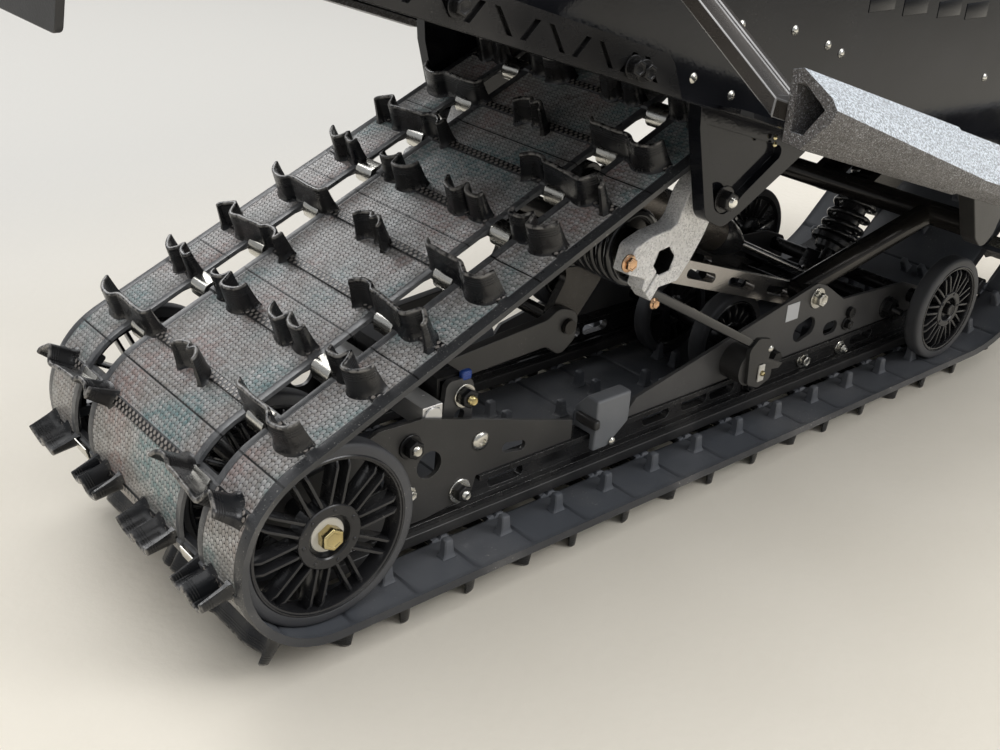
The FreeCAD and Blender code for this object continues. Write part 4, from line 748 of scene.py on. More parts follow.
@dataclass(frozen=True)
class BeltPath:
    """Closed side path of the belt, measured along its middle layer.

    Attributes:
        circles: X, Z and radius of each circle that the belt's inside wraps.
        half_thick: Half of the belt's thickness.
        pitches: Count of pitches in the loop.
    """

    circles: tuple[Point3, ...] = ((0.0, 139.5, 90.5), (625.0, 438.873, 70.0),
                                   (1371.3, 400.0, 88.5), (1040.0, 245.0, 196.0))
    half_thick: float = 4.0
    pitches: int = 48

    def legs(self) -> list[tuple]:
        """Lines and arcs in travel order, from the rear wheel's upper tangent."""
        ring = list(self.circles)
        leave = []
        for here, there in zip(ring, ring[1:] + ring[:1]):
            span = math.hypot(there[0] - here[0], there[1] - here[1])
            heading = math.atan2(there[1] - here[1], there[0] - here[0])
            leave.append(heading + math.acos((here[2] - there[2]) / span))
        found = []
        for k, (cx, cz, radius) in enumerate(ring):
            reach = radius + self.half_thick
            start = leave[k - 1]
            sweep = (start - leave[k]) % (2 * math.pi)
            found.append(("arc", reach * sweep, (cx, cz, reach, start)))
            there = ring[(k + 1) % len(ring)]
            nx, nz = math.cos(leave[k]), math.sin(leave[k])
            far = there[2] + self.half_thick
            ax, az = cx + reach * nx, cz + reach * nz
            bx, bz = there[0] + far * nx, there[1] + far * nz
            found.append(("line", math.hypot(bx - ax, bz - az), (ax, az, bx, bz, leave[k])))
        return found[1:] + found[:1]

    @property
    def length(self) -> float:
        """Length of the whole loop."""
        return sum(leg[1] for leg in self.legs())

    @property
    def pitch(self) -> float:
        """Length of one pitch."""
        return self.length / self.pitches

    def at(self, distance: float) -> tuple[float, float, float]:
        """X, Z and outward normal angle of the middle layer at a distance."""
        left = distance % self.length
        for kind, length, data in self.legs():
            if left <= length:
                break
            left -= length
        if kind == "line":
            ax, az, bx, bz, normal = data
            share = left / length
            return ax + (bx - ax) * share, az + (bz - az) * share, normal
        cx, cz, reach, start = data
        normal = start - left / reach
        return cx + reach * math.cos(normal), cz + reach * math.sin(normal), normal

    def place(self, distance: float, lift: float = 0.0) -> Matrix:
        """Matrix that stands a flat piece on the belt's middle layer.

        Args:
            distance: Station along the loop in millimetres.
            lift: Height over the middle layer in millimetres.

        Returns:
            X along the travel, Y to the left and Z outward.
        """
        x, z, normal = self.at(distance)
        nx, nz = math.cos(normal), math.sin(normal)
        seat = station(x + nx * lift, 0.0, z + nz * lift)
        return Matrix(((nz, 0, nx, seat.x), (0, 1, 0, seat.y), (-nx, 0, nz, seat.z), (0, 0, 0, 1)))


class PaddleRow(Enum):
    """The three lug rows that follow each other round the belt, as plans in mm.

    Each wall is a run of bends at its tip: lateral station and reach forward of the rod.
    """

    LONG_SIDES = (
        ((181, 2), (180, 7), (173, 12), (165, 17), (160, 12), (154, 4), (147, 3), (138, 5),
         (128, 6), (117, 7), (105, 8), (98, 8), (94, 11), (87, 13), (78, 12.5), (71, 9),
         (66, 3.5), (65, 10), (65, 14)),
        ((-181, 2), (-180, 7), (-174, 12), (-164, 17), (-159, 11), (-154, 4), (-147, 3.5),
         (-138, 5), (-128, 6), (-117, 7.5), (-105, 8.5), (-98, 8.5), (-94, 11.5), (-88, 13.5),
         (-80, 13.5), (-72, 10), (-66, 4)))
    MIDDLE = (
        ((187, 14), (181, 6), (173, 1), (164, -1), (156, -1), (150, 2), (145, 5.5), (132, 6),
         (117, 5), (103, 5), (91, 6), (86, 13)),
        ((19, -2), (17, 3), (12, 7), (6, 9), (1, 10), (-4, 5), (-9, 10), (-15, 8), (-20, 4),
         (-23, -2)),
        ((-183, 14), (-181, 6), (-177, 1), (-168, -2), (-160, -2.5), (-154, 0), (-148, 4),
         (-142, 6), (-132, 6), (-117, 6), (-104, 7), (-93, 7), (-86, 13)))
    BROKEN = (
        ((184, 18), (179, 12), (172, 7), (164, 4), (159, 6.5), (155, 12), (154, 18), (149, 11),
         (141, 8), (134, 7.5), (131, 14)),
        ((81, 14), (79, 8), (73, 7), (66, 9), (61, 14), (60, 19), (56, 11), (53, 4), (46, 3),
         (39, 4.5), (31, 8.5), (28, 14), (28, 19)),
        ((-23, 19), (-27, 12), (-33, 7), (-42, 5), (-48, 5), (-51.5, 11), (-54, 18), (-60, 11),
         (-67, 8), (-75, 8), (-80, 10), (-80, 16)),
        ((-127, 14), (-130, 7), (-139, 7), (-146, 9), (-151, 18), (-157, 9), (-159, 3),
         (-165, 2), (-172, 4), (-179, 9), (-183, 14), (-183, 20)))


@dataclass
class Track:
    """Rubber belt on rods with paddles, clips and drive lugs.

    Attributes:
        path: Side path of the loop.
        half_width: Outer edge of the belt; not used.
        thick: Belt thickness.
        first_row: Station of the first rod.
        lug_height: Height of the paddles over the belt.
        steps: Stations of the mesh rows in one pitch, forward of the rod.
        window: Mesh rows where the opening between two rods starts and ends.
        rib: Height of the cross rib over each rod.
        columns: Lateral stations of the mesh, one half, from the edge inwards.
        lips: Those of the raised lips beside the windows.
        edges: Those of the rounded edges.
        clip_side: Lateral station of the clips.
        drive_sides: Lateral stations of the drive lugs; the inner ones alternate.
        drive_ahead: Distance of the drive lugs forward of the rod.
    """

    path: BeltPath = field(default_factory=BeltPath)
    half_width: float = 201.0
    thick: float = 8.0
    first_row: float = 10.5
    lug_height: float = 28.9
    steps: tuple[float, ...] = (0.0, 2.4, 4.0, 12.2, 13.8, 18.0, 26.0, 34.0, 42.0, 50.0, 60.0,
                                70.0)
    window: tuple[int, int] = (5, 11)
    rib: float = 2.2
    columns: tuple[float, ...] = (201.0, 197.0, 190.0, 160.0, 139.0, 137.0, 129.5, 128.0,
                                  98.0, 96.5, 89.0, 87.0, 58.0, 29.0)
    lips: tuple[float, ...] = (137.0, 129.5, 96.5, 89.0)
    edges: tuple[float, ...] = (201.0, 128.0, 98.0)
    clip_side: float = 114.0
    drive_sides: tuple[float, ...] = (-161.0, -38.0, -8.0, 8.0, 38.0, 161.0)
    drive_ahead: float = 21.5

    def build(self) -> None:
        """Makes and dresses every piece of the track."""
        self.belt()
        self.paddles()
        self.clips()
        self.drive_lugs()

    def column_height(self, side: float) -> float:
        """Height of the belt's outer face at a lateral station."""
        if side in self.lips:
            return 1.3
        if side in self.edges:
            return -1.4
        return 0.0 if side < 195 else -0.2

    def belt(self) -> bpy.types.Object:
        """The three belts with their windows, from one flat grid wrapped on the loop."""
        stations = [-c for c in self.columns] + [0.0] + list(reversed(self.columns))
        turn = len(self.steps)
        rows = self.path.pitches * turn
        Bench.clear()
        bpy.ops.mesh.primitive_grid_add(x_subdivisions=rows, y_subdivisions=len(stations) - 1,
                                        size=2.0, location=(0, 0, 0))
        belt = bpy.context.object
        belt.name = "track_belt"
        mesh = belt.data
        for vertex in mesh.vertices:
            row = round((vertex.co.x + 1) / 2 * rows)
            column = round((vertex.co.y + 1) / 2 * (len(stations) - 1))
            side = stations[column]
            rib = self.rib if row % turn in (2, 3) and abs(side) < 195 else 0.0
            along = self.first_row + row // turn * self.path.pitch + self.steps[row % turn]
            vertex.co = (along, side, self.column_height(abs(side)) + rib)
        layer = mesh.uv_layers.active
        layer.name = "belt"
        for loop in mesh.loops:
            point = mesh.vertices[loop.vertex_index].co
            layer.data[loop.index].uv = (point.x * MM, point.y * MM)
        Bench.edit(belt)
        first, last = (self.steps[row] for row in self.window)

        def in_window(place: Vector, _: Vector) -> bool:
            return (first < (place.x - self.first_row) % self.path.pitch < last
                    and 98.0 < abs(place.y) < 128.0)

        Bench.pick(belt, in_window)
        bpy.ops.mesh.delete(type="FACE")
        bpy.ops.object.mode_set(mode="OBJECT")
        for vertex in mesh.vertices:
            seat = self.path.place(vertex.co.x, self.path.half_thick + vertex.co.z)
            vertex.co = seat @ Vector((0, vertex.co.y * MM, 0))
        with Bench.opened(belt):
            bpy.ops.mesh.remove_doubles(threshold=WELD_GAP)
        for finish in (ScaleRubber(), RUBBER, BELT_EDGE):
            belt.data.materials.append(finish.build())
        Bench.modify(belt, "SOLIDIFY", thickness=self.thick * MM - 0.0004, offset=-1.0,
                     material_offset=1, material_offset_rim=2)
        Bench.smooth(belt, 40.0)
        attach(belt, BODY)
        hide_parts("track")
        return belt

    @staticmethod
    def rounded(bends: Sequence[Point2], cuts: int = 3) -> np.ndarray:
        """Smooth run through a wall's bends."""
        points = np.array(bends, float)
        padded = np.vstack([2 * points[0] - points[1], points, 2 * points[-1] - points[-2]])
        run = []
        for k in range(1, len(padded) - 2):
            a, b, c, d = padded[k - 1:k + 3]
            for t in np.arange(cuts) / cuts:
                run.append(0.5 * (2 * b + (c - a) * t + (2 * a - 5 * b + 4 * c - d) * t ** 2
                                  + (3 * b - a - 3 * c + d) * t ** 3))
        run.append(points[-1])
        return np.array(run)

    def wall(self, bends: Sequence[Point2]) -> bpy.types.Object:
        """One paddle: thick at the foot, thin and worn at the tip, its ends sloping in."""
        centre = self.rounded(bends)
        tall = self.lug_height
        rings = ((-2.0, 7.2, 5.0), (0.4, 5.4, 4.5), (2.6, 3.9, 3.8), (8.0, 3.2, 2.6),
                 (17.0, 2.7, 1.2), (tall - 3.0, 2.2, 0.0), (tall - 0.8, 2.1, -0.2),
                 (tall, 1.2, -0.8))
        verts, reach, faces = [], [], []
        count = len(centre)
        ends = np.where((np.arange(count) == 0) | (np.arange(count) == count - 1), 0.6, 1.0)
        for height, half, spread in rings:
            line = centre.copy()
            for end, beside in ((0, 1), (-1, -2)):
                outward = centre[end] - centre[beside]
                line[end] += outward / np.linalg.norm(outward) * spread
            line[:, 1] -= 2.0 * (1.0 - height / tall)
            ahead = np.gradient(line, axis=0)
            ahead /= np.linalg.norm(ahead, axis=1)[:, None]
            sideways = np.c_[-ahead[:, 1], ahead[:, 0]]
            for sign, order in ((1, range(count)), (-1, reversed(range(count)))):
                for k in order:
                    y, x = line[k] + sideways[k] * half * sign * ends[k]
                    verts.append((x * MM, y * MM, height * MM))
                    reach.append(max(height, 0.0) * MM)
        around = 2 * count
        for ring in range(len(rings) - 1):
            for k in range(around):
                a, b = ring * around + k, ring * around + (k + 1) % around
                faces.append((a, b, b + around, a + around))
        top = (len(rings) - 1) * around
        for k in range(count - 1):
            faces.append((top + k, top + k + 1, top + around - 2 - k, top + around - 1 - k))
            faces.append((k + 1, k, around - 1 - k, around - 2 - k))
        piece = Bench.mesh("wall", verts, faces)
        layer = piece.data.attributes.new("reach", "FLOAT", "POINT")
        layer.data.foreach_set("value", reach)
        Bench.mend(piece)
        return piece

    def paddles(self) -> bpy.types.Object:
        """Every paddle of the loop, three rows in turn."""
        rows = []
        order = (PaddleRow.MIDDLE, PaddleRow.BROKEN, PaddleRow.LONG_SIDES)
        for kind, plan in enumerate(order):
            row = Bench.join([self.wall(bends) for bends in plan.value], "row")
            places = [self.path.place(self.first_row + k * self.path.pitch, self.path.half_thick)
                      for k in range(kind, self.path.pitches, len(order))]
            rows.append(Bench.copies(row, places, "rows"))
        paddles = Bench.join(rows, "track_paddles")
        return Bench.dress(paddles, PaddleRubber(), angle=50.0)

    def clips(self) -> bpy.types.Object:
        """Plated clips that wrap the rods in the windows."""
        profile = ((15.0, 7.6), (6.0, 8.4), (2.4, 8.2), (-0.4, 6.8), (-3.0, 3.6), (-4.6, -0.4),
                   (-5.2, -4.4), (-4.0, -7.8), (0.0, -9.4), (13.0, -9.2))
        verts = [(x * MM, y * MM, z * MM) for y in (-14.0, -12.6, 12.6, 14.0) for x, z in profile]
        count = len(profile)
        faces = [(r * count + k, r * count + k + 1, (r + 1) * count + k + 1, (r + 1) * count + k)
                 for r in range(3) for k in range(count - 1)]
        clip = Bench.mesh("clip", verts, faces)
        Bench.modify(clip, "SOLIDIFY", thickness=1.8 * MM, offset=0.0)
        Bench.ease(clip, 0.5)
        places = []
        for k in range(self.path.pitches):
            seat = self.path.place(self.first_row + k * self.path.pitch, 0.0)
            for side in (-self.clip_side, self.clip_side):
                places.append(seat @ Matrix.Translation((0, side * MM, 0)))
        return Bench.dress(Bench.copies(clip, places, "track_clips"), ZINC)

    def drive_lugs(self) -> bpy.types.Object:
        """Moulded drive lugs on the belt's inner face."""
        Bench.clear()
        bpy.ops.mesh.primitive_plane_add(size=1.0, location=(0, 0, 0))
        lug = bpy.context.object
        lug.data.transform(Matrix.Diagonal((0.019, 0.0145, 1.0, 1.0)))
        bpy.ops.object.mode_set(mode="EDIT")
        bpy.ops.mesh.select_mode(type="FACE")
        bpy.ops.mesh.select_all(action="SELECT")
        for rise, wide, deep in ((-1.6, 0.78, 0.84), (-4.0, 0.80, 0.86), (-7.0, 0.92, 0.93),
                                 (-6.0, 0.92, 0.92), (-2.4, 0.82, 0.82)):
            bpy.ops.mesh.extrude_region_move(TRANSFORM_OT_translate={"value": (0, 0, rise * MM)})
            bpy.ops.transform.resize(value=(wide, deep, 1.0))
        bpy.ops.object.mode_set(mode="OBJECT")
        Bench.mend(lug)
        Bench.ease(lug, 1.3, 1, 30.0)
        places = []
        for k in range(self.path.pitches):
            seat = self.path.place(self.first_row + self.drive_ahead + k * self.path.pitch,
                                   0.6 - self.path.half_thick)
            for side in self.drive_sides:
                if abs(side) > 100 or (k % 2) == (side > 0):
                    places.append(seat @ Matrix.Translation((0, side * MM, 0)))
        return Bench.dress(Bench.copies(lug, places, "track_drive_lugs"), RUBBER)


@dataclass
class Wheel:
    """A pair of idler wheels with a rubber tyre on a spoked moulding.

    Attributes:
        node: CAD node that the pair stands for.
        x: Station of the axle.
        z: Height of the axle.
        y: Lateral station of the middle, right-hand side negative.
        radius: Outer radius.
        spokes: Count of spoke pairs.
        hub: Outer radius of the hub ring.
        bore: Radius of the recess in the hub.
        paired: Two blades a spoke.
        half: Half of the width.
        tyre: Depth of the tyre.
    """

    node: str
    x: float
    z: float
    y: float
    radius: float
    spokes: int
    hub: float
    bore: float
    paired: bool = True
    half: float = 11.0
    tyre: float = 11.5

    def tyre_ring(self) -> bpy.types.Object:
        """Rubber ring with rounded shoulders and a worn tread."""
        r, h, t = self.radius - 0.3, self.half, self.tyre
        profile = [(-h + 1.0, r - t), (-h - 0.0, r - t + 1.0), (-h + 0.1, r - 4.5),
                   (-h + 1.2, r - 1.6), (-h + 3.2, r - 0.3), (-4, r), (4, r), (h - 3.2, r - 0.3),
                   (h - 1.2, r - 1.6), (h - 0.1, r - 4.5), (h, r - t + 1.0), (h - 1.0, r - t)]
        return Bench.lathe("tyre", profile, 96)

    def moulding(self) -> bpy.types.Object:
        """Rim, hub and spokes in one black moulding; its outer face looks along -Y."""
        outer, h = self.radius - self.tyre + 0.2, self.half
        rim = Bench.lathe("rim", (
            (-h + 0.2, outer), (-h - 0.5, outer - 0.9), (-h - 0.5, outer - 2.2),
            (-h + 0.8, outer - 2.8), (-h + 1.2, outer - 4.2), (-h + 4.0, outer - 5.4),
            (h - 2, outer - 5.4), (h - 1, outer - 3.4), (h, outer - 2.4), (h, outer)), 96)
        hub = Bench.lathe("hub", (
            (-h + 1.2, self.hub - 1.0), (-h + 0.2, self.hub - 2.0), (-h + 0.2, self.bore + 1.2),
            (-h + 1.2, self.bore), (-h + 7.0, self.bore - 0.4), (-h + 7.0, 10.6),
            (h - 1, 10.6), (h - 1, self.hub - 6), (h - 5, self.hub)), 64)
        parts = [rim, hub]
        for k in range(self.spokes):
            turn = Matrix.Rotation(2 * math.pi * (k + 0.35) / self.spokes, 4, "Y")
            for side in ((-1, 1) if self.paired else (0,)):
                parts.append(self.blade(side, turn, outer))
        dots = 7 if self.hub > 30 else 5
        for k in range(dots):
            turn = Matrix.Rotation(2 * math.pi * (k + 0.2) / dots, 4, "Y")
            Bench.clear()
            bpy.ops.mesh.primitive_uv_sphere_add(segments=12, ring_count=6, radius=2.1 * MM)
            dot = bpy.context.object
            seat = Matrix.Translation((0, (-h + 0.3) * MM, (self.hub + self.bore) / 2 * MM))
            dot.data.transform(turn @ seat @ Matrix.Diagonal((1, 0.6, 1, 1)))
            parts.append(dot)
        return Bench.join(parts, "moulding")

    def blade(self, side: int, turn: Matrix, outer: float) -> bpy.types.Object:
        """One thin spoke blade with a swept-back end at the rim."""
        near, far = self.hub - 2.0, outer - 4.6
        gap = min(6.4, self.hub * 0.19) * side
        thick = 1.5 if self.paired else 2.4
        h = self.half
        outline = ((-h + 1.4, near), (-h + 0.8, near + 3), (-h + 0.8, far - 7), (-h + 4.6, far),
                   (h - 3, far), (h - 5, near))
        verts = [((gap + s * thick) * MM, y * MM, z * MM) for s in (-1, 1) for y, z in outline]
        n = len(outline)
        faces = [tuple(range(n)), tuple(reversed(range(n, 2 * n)))]
        faces += [(k, (k + 1) % n, n + (k + 1) % n, n + k) for k in range(n)]
        piece = Bench.mesh("blade", verts, faces)
        Bench.mend(piece)
        Bench.ease(piece, 0.7)
        piece.data.transform(turn)
        return piece

    def build(self) -> None:
        """Makes the right wheel and its mirror image."""
        seat = Matrix.Translation(station(self.x, self.y, self.z))
        tyres = Bench.pair(self.tyre_ring(), seat, self.node + "_tyres")
        Bench.dress(tyres, TYRE, angle=40.0)
        mouldings = Bench.pair(self.moulding(), seat, self.node + "_mouldings")
        Bench.dress(mouldings, MOULDED, self.node)


class Head(Enum):
    """Kinds of fastener head."""

    HEX = "hex bolt on a washer"
    NUT = "nut with the stud's end through it"
    BUTTON = "domed button head with a drive recess"
    RIVET = "small domed rivet"
    FLANGE = "hexagon with a pressed flange"
    WASHER = "plain washer"
    STUD = "threaded end of a stud"


@dataclass(frozen=True)
class Fastener:
    """One fastener of the hardware table.

    Attributes:
        head: Kind of head.
        x: Station of its axis.
        z: Height of its axis.
        y: Lateral station of the face that it sits on.
        radius: Radius of the hexagon or dome.
        finish: Finish of the head.
        washer: Radius of the washer under it, or zero.
        stud: Length of the stud that shows past a nut.
    """

    head: Head
    x: float
    z: float
    y: float
    radius: float
    finish: Finish
    washer: float = 0.0
    stud: float = 0.0


class Hardware:
    """Makes fasteners from a table, one joined piece for each finish."""

    def __init__(self, name: str) -> None:
        self.name = name
        self.loose: dict[str, list[bpy.types.Object]] = {}
        self.finishes: dict[str, Finish] = {}

    def head_piece(self, item: Fastener) -> bpy.types.Object:
        """The fastener's head facing along -Y, its seat on the origin."""
        r = item.radius
        if item.head is Head.RIVET:
            rings = [(0.3, r * 1.05), (-0.4, r * 1.05), (-1.0, r * 0.92), (-1.9, r * 0.62),
                     (-2.3, r * 0.25), (-2.3, 0.05)]
            return Bench.lathe("rivet", rings, 20)
        if item.head is Head.BUTTON:
            rings = [(0.3, r), (-0.8, r), (-2.4, r * 0.9), (-4.0, r * 0.62), (-4.4, r * 0.36),
                     (-2.4, r * 0.32), (-2.4, 0.05)]
            return Bench.lathe("button", rings, 32)
        if item.head is Head.STUD:
            return self.stud_piece(0.0, r, item.stud)
        parts = []
        tall = r * 0.85
        base = 0.0
        if item.washer:
            base = 2.2
            parts.append(Bench.lathe("washer", (
                (0.3, item.washer - 0.3), (-0.3, item.washer), (-1.7, item.washer),
                (-2.2, item.washer - 0.6), (-2.2, r * 0.5), (0.3, r * 0.5)), 36))
        if item.head is Head.WASHER:
            return parts[0]
        if item.head is Head.FLANGE:
            parts.append(Bench.lathe("flange", (
                (0.3, r * 1.3), (-1.0, r * 1.3), (-2.4, r * 0.9), (-2.4, r * 0.4),
                (0.3, r * 0.4)), 36))
        Bench.clear()
        bpy.ops.mesh.primitive_cylinder_add(vertices=6, radius=r * MM, depth=tall * MM,
                                            location=(0, -(base + tall / 2) * MM, 0),
                                            rotation=(math.pi / 2, 0, 0))
        hexagon = bpy.context.object
        bpy.ops.object.transform_apply(location=True, rotation=True, scale=True)
        Bench.edit(hexagon)
        Bench.pick(hexagon, lambda place, way: way.y < -0.9)
        bpy.ops.mesh.inset(thickness=r * 0.10 * MM, depth=r * 0.10 * MM)
        if item.head is not Head.NUT:
            bpy.ops.mesh.inset(thickness=r * 0.18 * MM, depth=0.0)
            bpy.ops.mesh.inset(thickness=r * 0.06 * MM, depth=-r * 0.07 * MM)
        bpy.ops.object.mode_set(mode="OBJECT")
        Bench.ease(hexagon, r * 0.05, 2, 30.0)
        parts.append(hexagon)
        if item.stud:
            parts.append(self.stud_piece(-base, r * 0.56, tall + item.stud))
        return Bench.join(parts, "head")

    @staticmethod
    def stud_piece(start: float, radius: float, length: float) -> bpy.types.Object:
        """A threaded rod along -Y with a chamfered end."""
        rings = [(start, radius)]
        turns = max(2, int(length / 1.5))
        for k in range(turns):
            y = start - length * k / turns
            rings += [(y, radius * 0.88), (y - length / turns / 2, radius)]
        end = start - length
        rings += [(end, radius * 0.86), (end - 0.6, radius * 0.7), (end - 0.2, radius * 0.3),
                  (end - 0.2, 0.05), (start, 0.05)]
        return Bench.lathe("stud", rings, 20)

    def add(self, items: Sequence[Fastener]) -> None:
        """Places fasteners and their mirror images."""
        for item in items:
            seat = Matrix.Translation(station(item.x, item.y, item.z))
            placed = Bench.pair(self.head_piece(item), seat, "fastener")
            self.loose.setdefault(item.finish.name, []).append(placed)
            self.finishes[item.finish.name] = item.finish

    def build(self) -> None:
        """Joins and dresses what was added."""
        for key, pieces in self.loose.items():
            finish = self.finishes[key]
            Bench.dress(Bench.join(pieces, f"{self.name}_{key}"), finish)


@dataclass
class CastPart:
    """A CAD node kept in shape, with its edges eased and its finish laid on.

    Attributes:
        node: CAD node.
        finish: Finish.
        ease: Width of the eased edges in millimetres.
        segments: Segments of the eased edges.
        trim: Lateral station past which stubs are cut off, or zero.
        edge: Finish of the eased edges, where it differs.
        hollow: X, Z and radius of a recess whose inside gets a black finish as painted shade.
        fall: First and last station of a slope on which the part's outer ridge drops as
            in the photograph, and the drop.
    """

    node: str
    finish: Finish
    ease: float = 0.8
    segments: int = 2
    trim: float = 0.0
    edge: Finish | None = None
    hollow: Point3 | None = None
    fall: Point3 | None = None

    def shape(self) -> bpy.types.Object:
        """Merged copy of the node."""
        source = NODES[self.node]
        mesh = source.data.copy()
        mesh.materials.clear()
        mesh.materials.append(self.finish.build())
        if self.edge:
            mesh.materials.append(self.edge.build())
        if self.fall:
            first, last, drop = self.fall
            for vertex in mesh.vertices:
                share = ((vertex.co.x - AXLE.x) / MM - first) / (last - first)
                if abs(vertex.co.y) > RIDGE_SIDE:
                    vertex.co.z -= min(max(share, 0.0), 1.0) * drop * MM
        piece = Bench.stand(self.node + "_eased", mesh)
        with Bench.opened(piece):
            bpy.ops.mesh.remove_doubles(threshold=2 * WELD_GAP)
            bpy.ops.mesh.dissolve_limited(angle_limit=math.radians(1.0))
        return piece

    def build(self) -> bpy.types.Object:
        """Eases, dresses and seats the piece in place of its node."""
        piece = self.shape()
        for sign in (-1.0, 1.0) if self.trim else ():
            with Bench.opened(piece):
                bpy.ops.mesh.bisect(plane_co=(0, sign * self.trim * MM, 0),
                                    plane_no=(0, sign, 0), use_fill=True, clear_outer=True)
        Bench.ease(piece, self.ease, self.segments, 35.0, 1 if self.edge else -1)
        marks = np.zeros(len(piece.data.polygons), dtype=np.int32)
        piece.data.polygons.foreach_get("material_index", marks)
        Bench.dress(piece, self.finish, self.node)
        if self.edge:
            piece.data.materials.append(self.edge.build())
            piece.data.polygons.foreach_set("material_index", marks)
        if self.hollow:
            self.darken(piece)
        Bench.modify(piece, "WEIGHTED_NORMAL", keep_sharp=True, mode="FACE_AREA", weight=50)
        return piece

    def darken(self, piece: bpy.types.Object) -> None:
        """Gives the faces inside the recess a black finish, as painted shade."""
        x, z, radius = self.hollow
        piece.data.materials.append(BLACK_STEEL.build())
        axis = station(x, 0.0, z)
        sides = [abs(vertex.co.y) for vertex in piece.data.vertices]
        shallow, deep = min(sides) + RECESS_SKIN, max(sides) - RECESS_SKIN
        for face in piece.data.polygons:
            away = math.hypot(face.center.x - axis.x, face.center.z - axis.z)
            if away < radius * MM and shallow < abs(face.center.y) < deep:
                face.material_index = len(piece.data.materials) - 1


@dataclass
class TorsionSprings:
    """Two close-wound coils on the rear arm's tube with flat legs down to their cams.

    Attributes:
        x: Station of the coil's axis.
        z: Height of the coil's axis.
        inner_y: Lateral station of the coil's inner end.
        lead: Distance between neighbouring turns.
        turns: Count of turns.
        radius: Radius of the coil.
        wire: Radius of the wire.
        cam: X and Z of the preload cam's middle.
        drum: Radius of the cam.
    """

    x: float = 384.0
    z: float = 319.0
    inner_y: float = -79.5
    lead: float = 11.6
    turns: float = 6.0
    radius: float = 36.0
    wire: float = 5.0
    cam: Point2 = (604.0, 124.0)
    drum: float = 22.0

    def build(self) -> None:
        """Coil, leg and hooked tail on both sides."""
        points = []
        steps = 20
        total = int(self.turns * steps)
        for k in range(total + 1):
            turn = 2 * math.pi * k / steps - math.pi / 2
            y = self.inner_y - self.lead * k / steps
            points.append(station(self.x + self.radius * math.cos(turn), y,
                                  self.z + self.radius * math.sin(turn)))
        coil = Bench.tube("coil", points, self.wire * MM)
        run_x, run_z = self.cam[0] - self.x, self.cam[1] - (self.z - self.radius)
        clear = self.drum + self.wire + 0.3
        tilt = math.atan2(run_z, run_x) + math.asin(clear / math.hypot(run_x, run_z))
        reach = math.hypot(run_x, run_z)
        y = self.inner_y - self.lead * self.turns
        tip = station(self.x + reach * math.cos(tilt), y - 1.0,
                      self.z - self.radius + reach * math.sin(tilt))
        foot = station(self.x - 3, y, self.z - self.radius)
        leg = Bench.block("leg", ((tip - foot).length, 0.0105, 0.0105), 0.0016)
        turn = Matrix.Rotation(-tilt, 4, "Y")
        leg.data.transform(Matrix.Translation((foot + tip) / 2) @ turn)
        inner = Bench.tube("tail", [points[0], points[0] + Vector((-0.03, 0, 0.002)),
                                    points[0] + Vector((-0.045, 0.002, 0.008)),
                                    points[0] + Vector((-0.05, 0.002, 0.022))], self.wire * MM)
        spring = Bench.join([coil, leg, inner], "spring")
        both = Bench.pair(spring, Matrix.Identity(4), "torsion_springs_wound")
        Bench.dress(both, SPRING, "torsion_springs", angle=45.0)


@dataclass
class Strut:
    """A damper drawn along the line between its two eyes.

    Attributes:
        first: X and Z of the lower or rear eye.
        last: X and Z of the other eye.
    """

    first: Point2
    last: Point2

    @property
    def length(self) -> float:
        """Distance between the eyes."""
        return math.hypot(self.last[0] - self.first[0], self.last[1] - self.first[1])

    @property
    def seat(self) -> Matrix:
        """Matrix that lays the Y axis of a turned piece along the strut."""
        start = station(self.first[0], 0, self.first[1])
        end = station(self.last[0], 0, self.last[1])
        along = (end - start).normalized()
        side = Vector((0, 1, 0))
        up = along.cross(side)
        return Matrix.Translation(start) @ Matrix(
            ((side.x, along.x, up.x), (side.y, along.y, up.y), (side.z, along.z, up.z))).to_4x4()

    def turned(self, name: str, rings: Sequence[Point2], finish: Finish,
               sides: int = 48) -> bpy.types.Object:
        """A turned part of the strut, dressed; stations run from the first eye."""
        piece = Bench.lathe(name, rings, sides)
        piece.data.transform(self.seat)
        Bench.mend(piece)
        return Bench.dress(piece, finish)

    def coil(self, name: str, start: float, end: float, turns: float, radius: float,
             wire: float, finish: Finish) -> bpy.types.Object:
        """A coil spring round the strut with closed ends."""
        steps = 20
        total = int(turns * steps)
        points = []
        for k in range(total + 1):
            share = k / total
            eased = share - 0.035 * math.sin(2 * math.pi * share)
            turn = 2 * math.pi * k / steps
            local = Vector((radius * math.cos(turn), start + (end - start) * eased,
                            radius * math.sin(turn))) * MM
            points.append(self.seat @ local)
        return Bench.dress(Bench.tube(name, points, wire * MM), finish, angle=45.0)

    def eye(self, name: str, far: bool, radius: float, finish: Finish,
            half: float = 12.0) -> bpy.types.Object:
        """Round eye with a bush at one end."""
        rings = [(-half, radius - 1), (-half + 1, radius), (half - 1, radius), (half, radius - 1),
                 (half, radius - 5.5), (half + 2.5, radius - 6), (half + 2.5, 4),
                 (-half - 2.5, 4), (-half - 2.5, radius - 6), (-half, radius - 5.5)]
        piece = Bench.lathe(name, rings, 32)
        x, z = self.last if far else self.first
        piece.data.transform(Matrix.Translation(station(x, 0, z)))
        return Bench.dress(piece, finish)


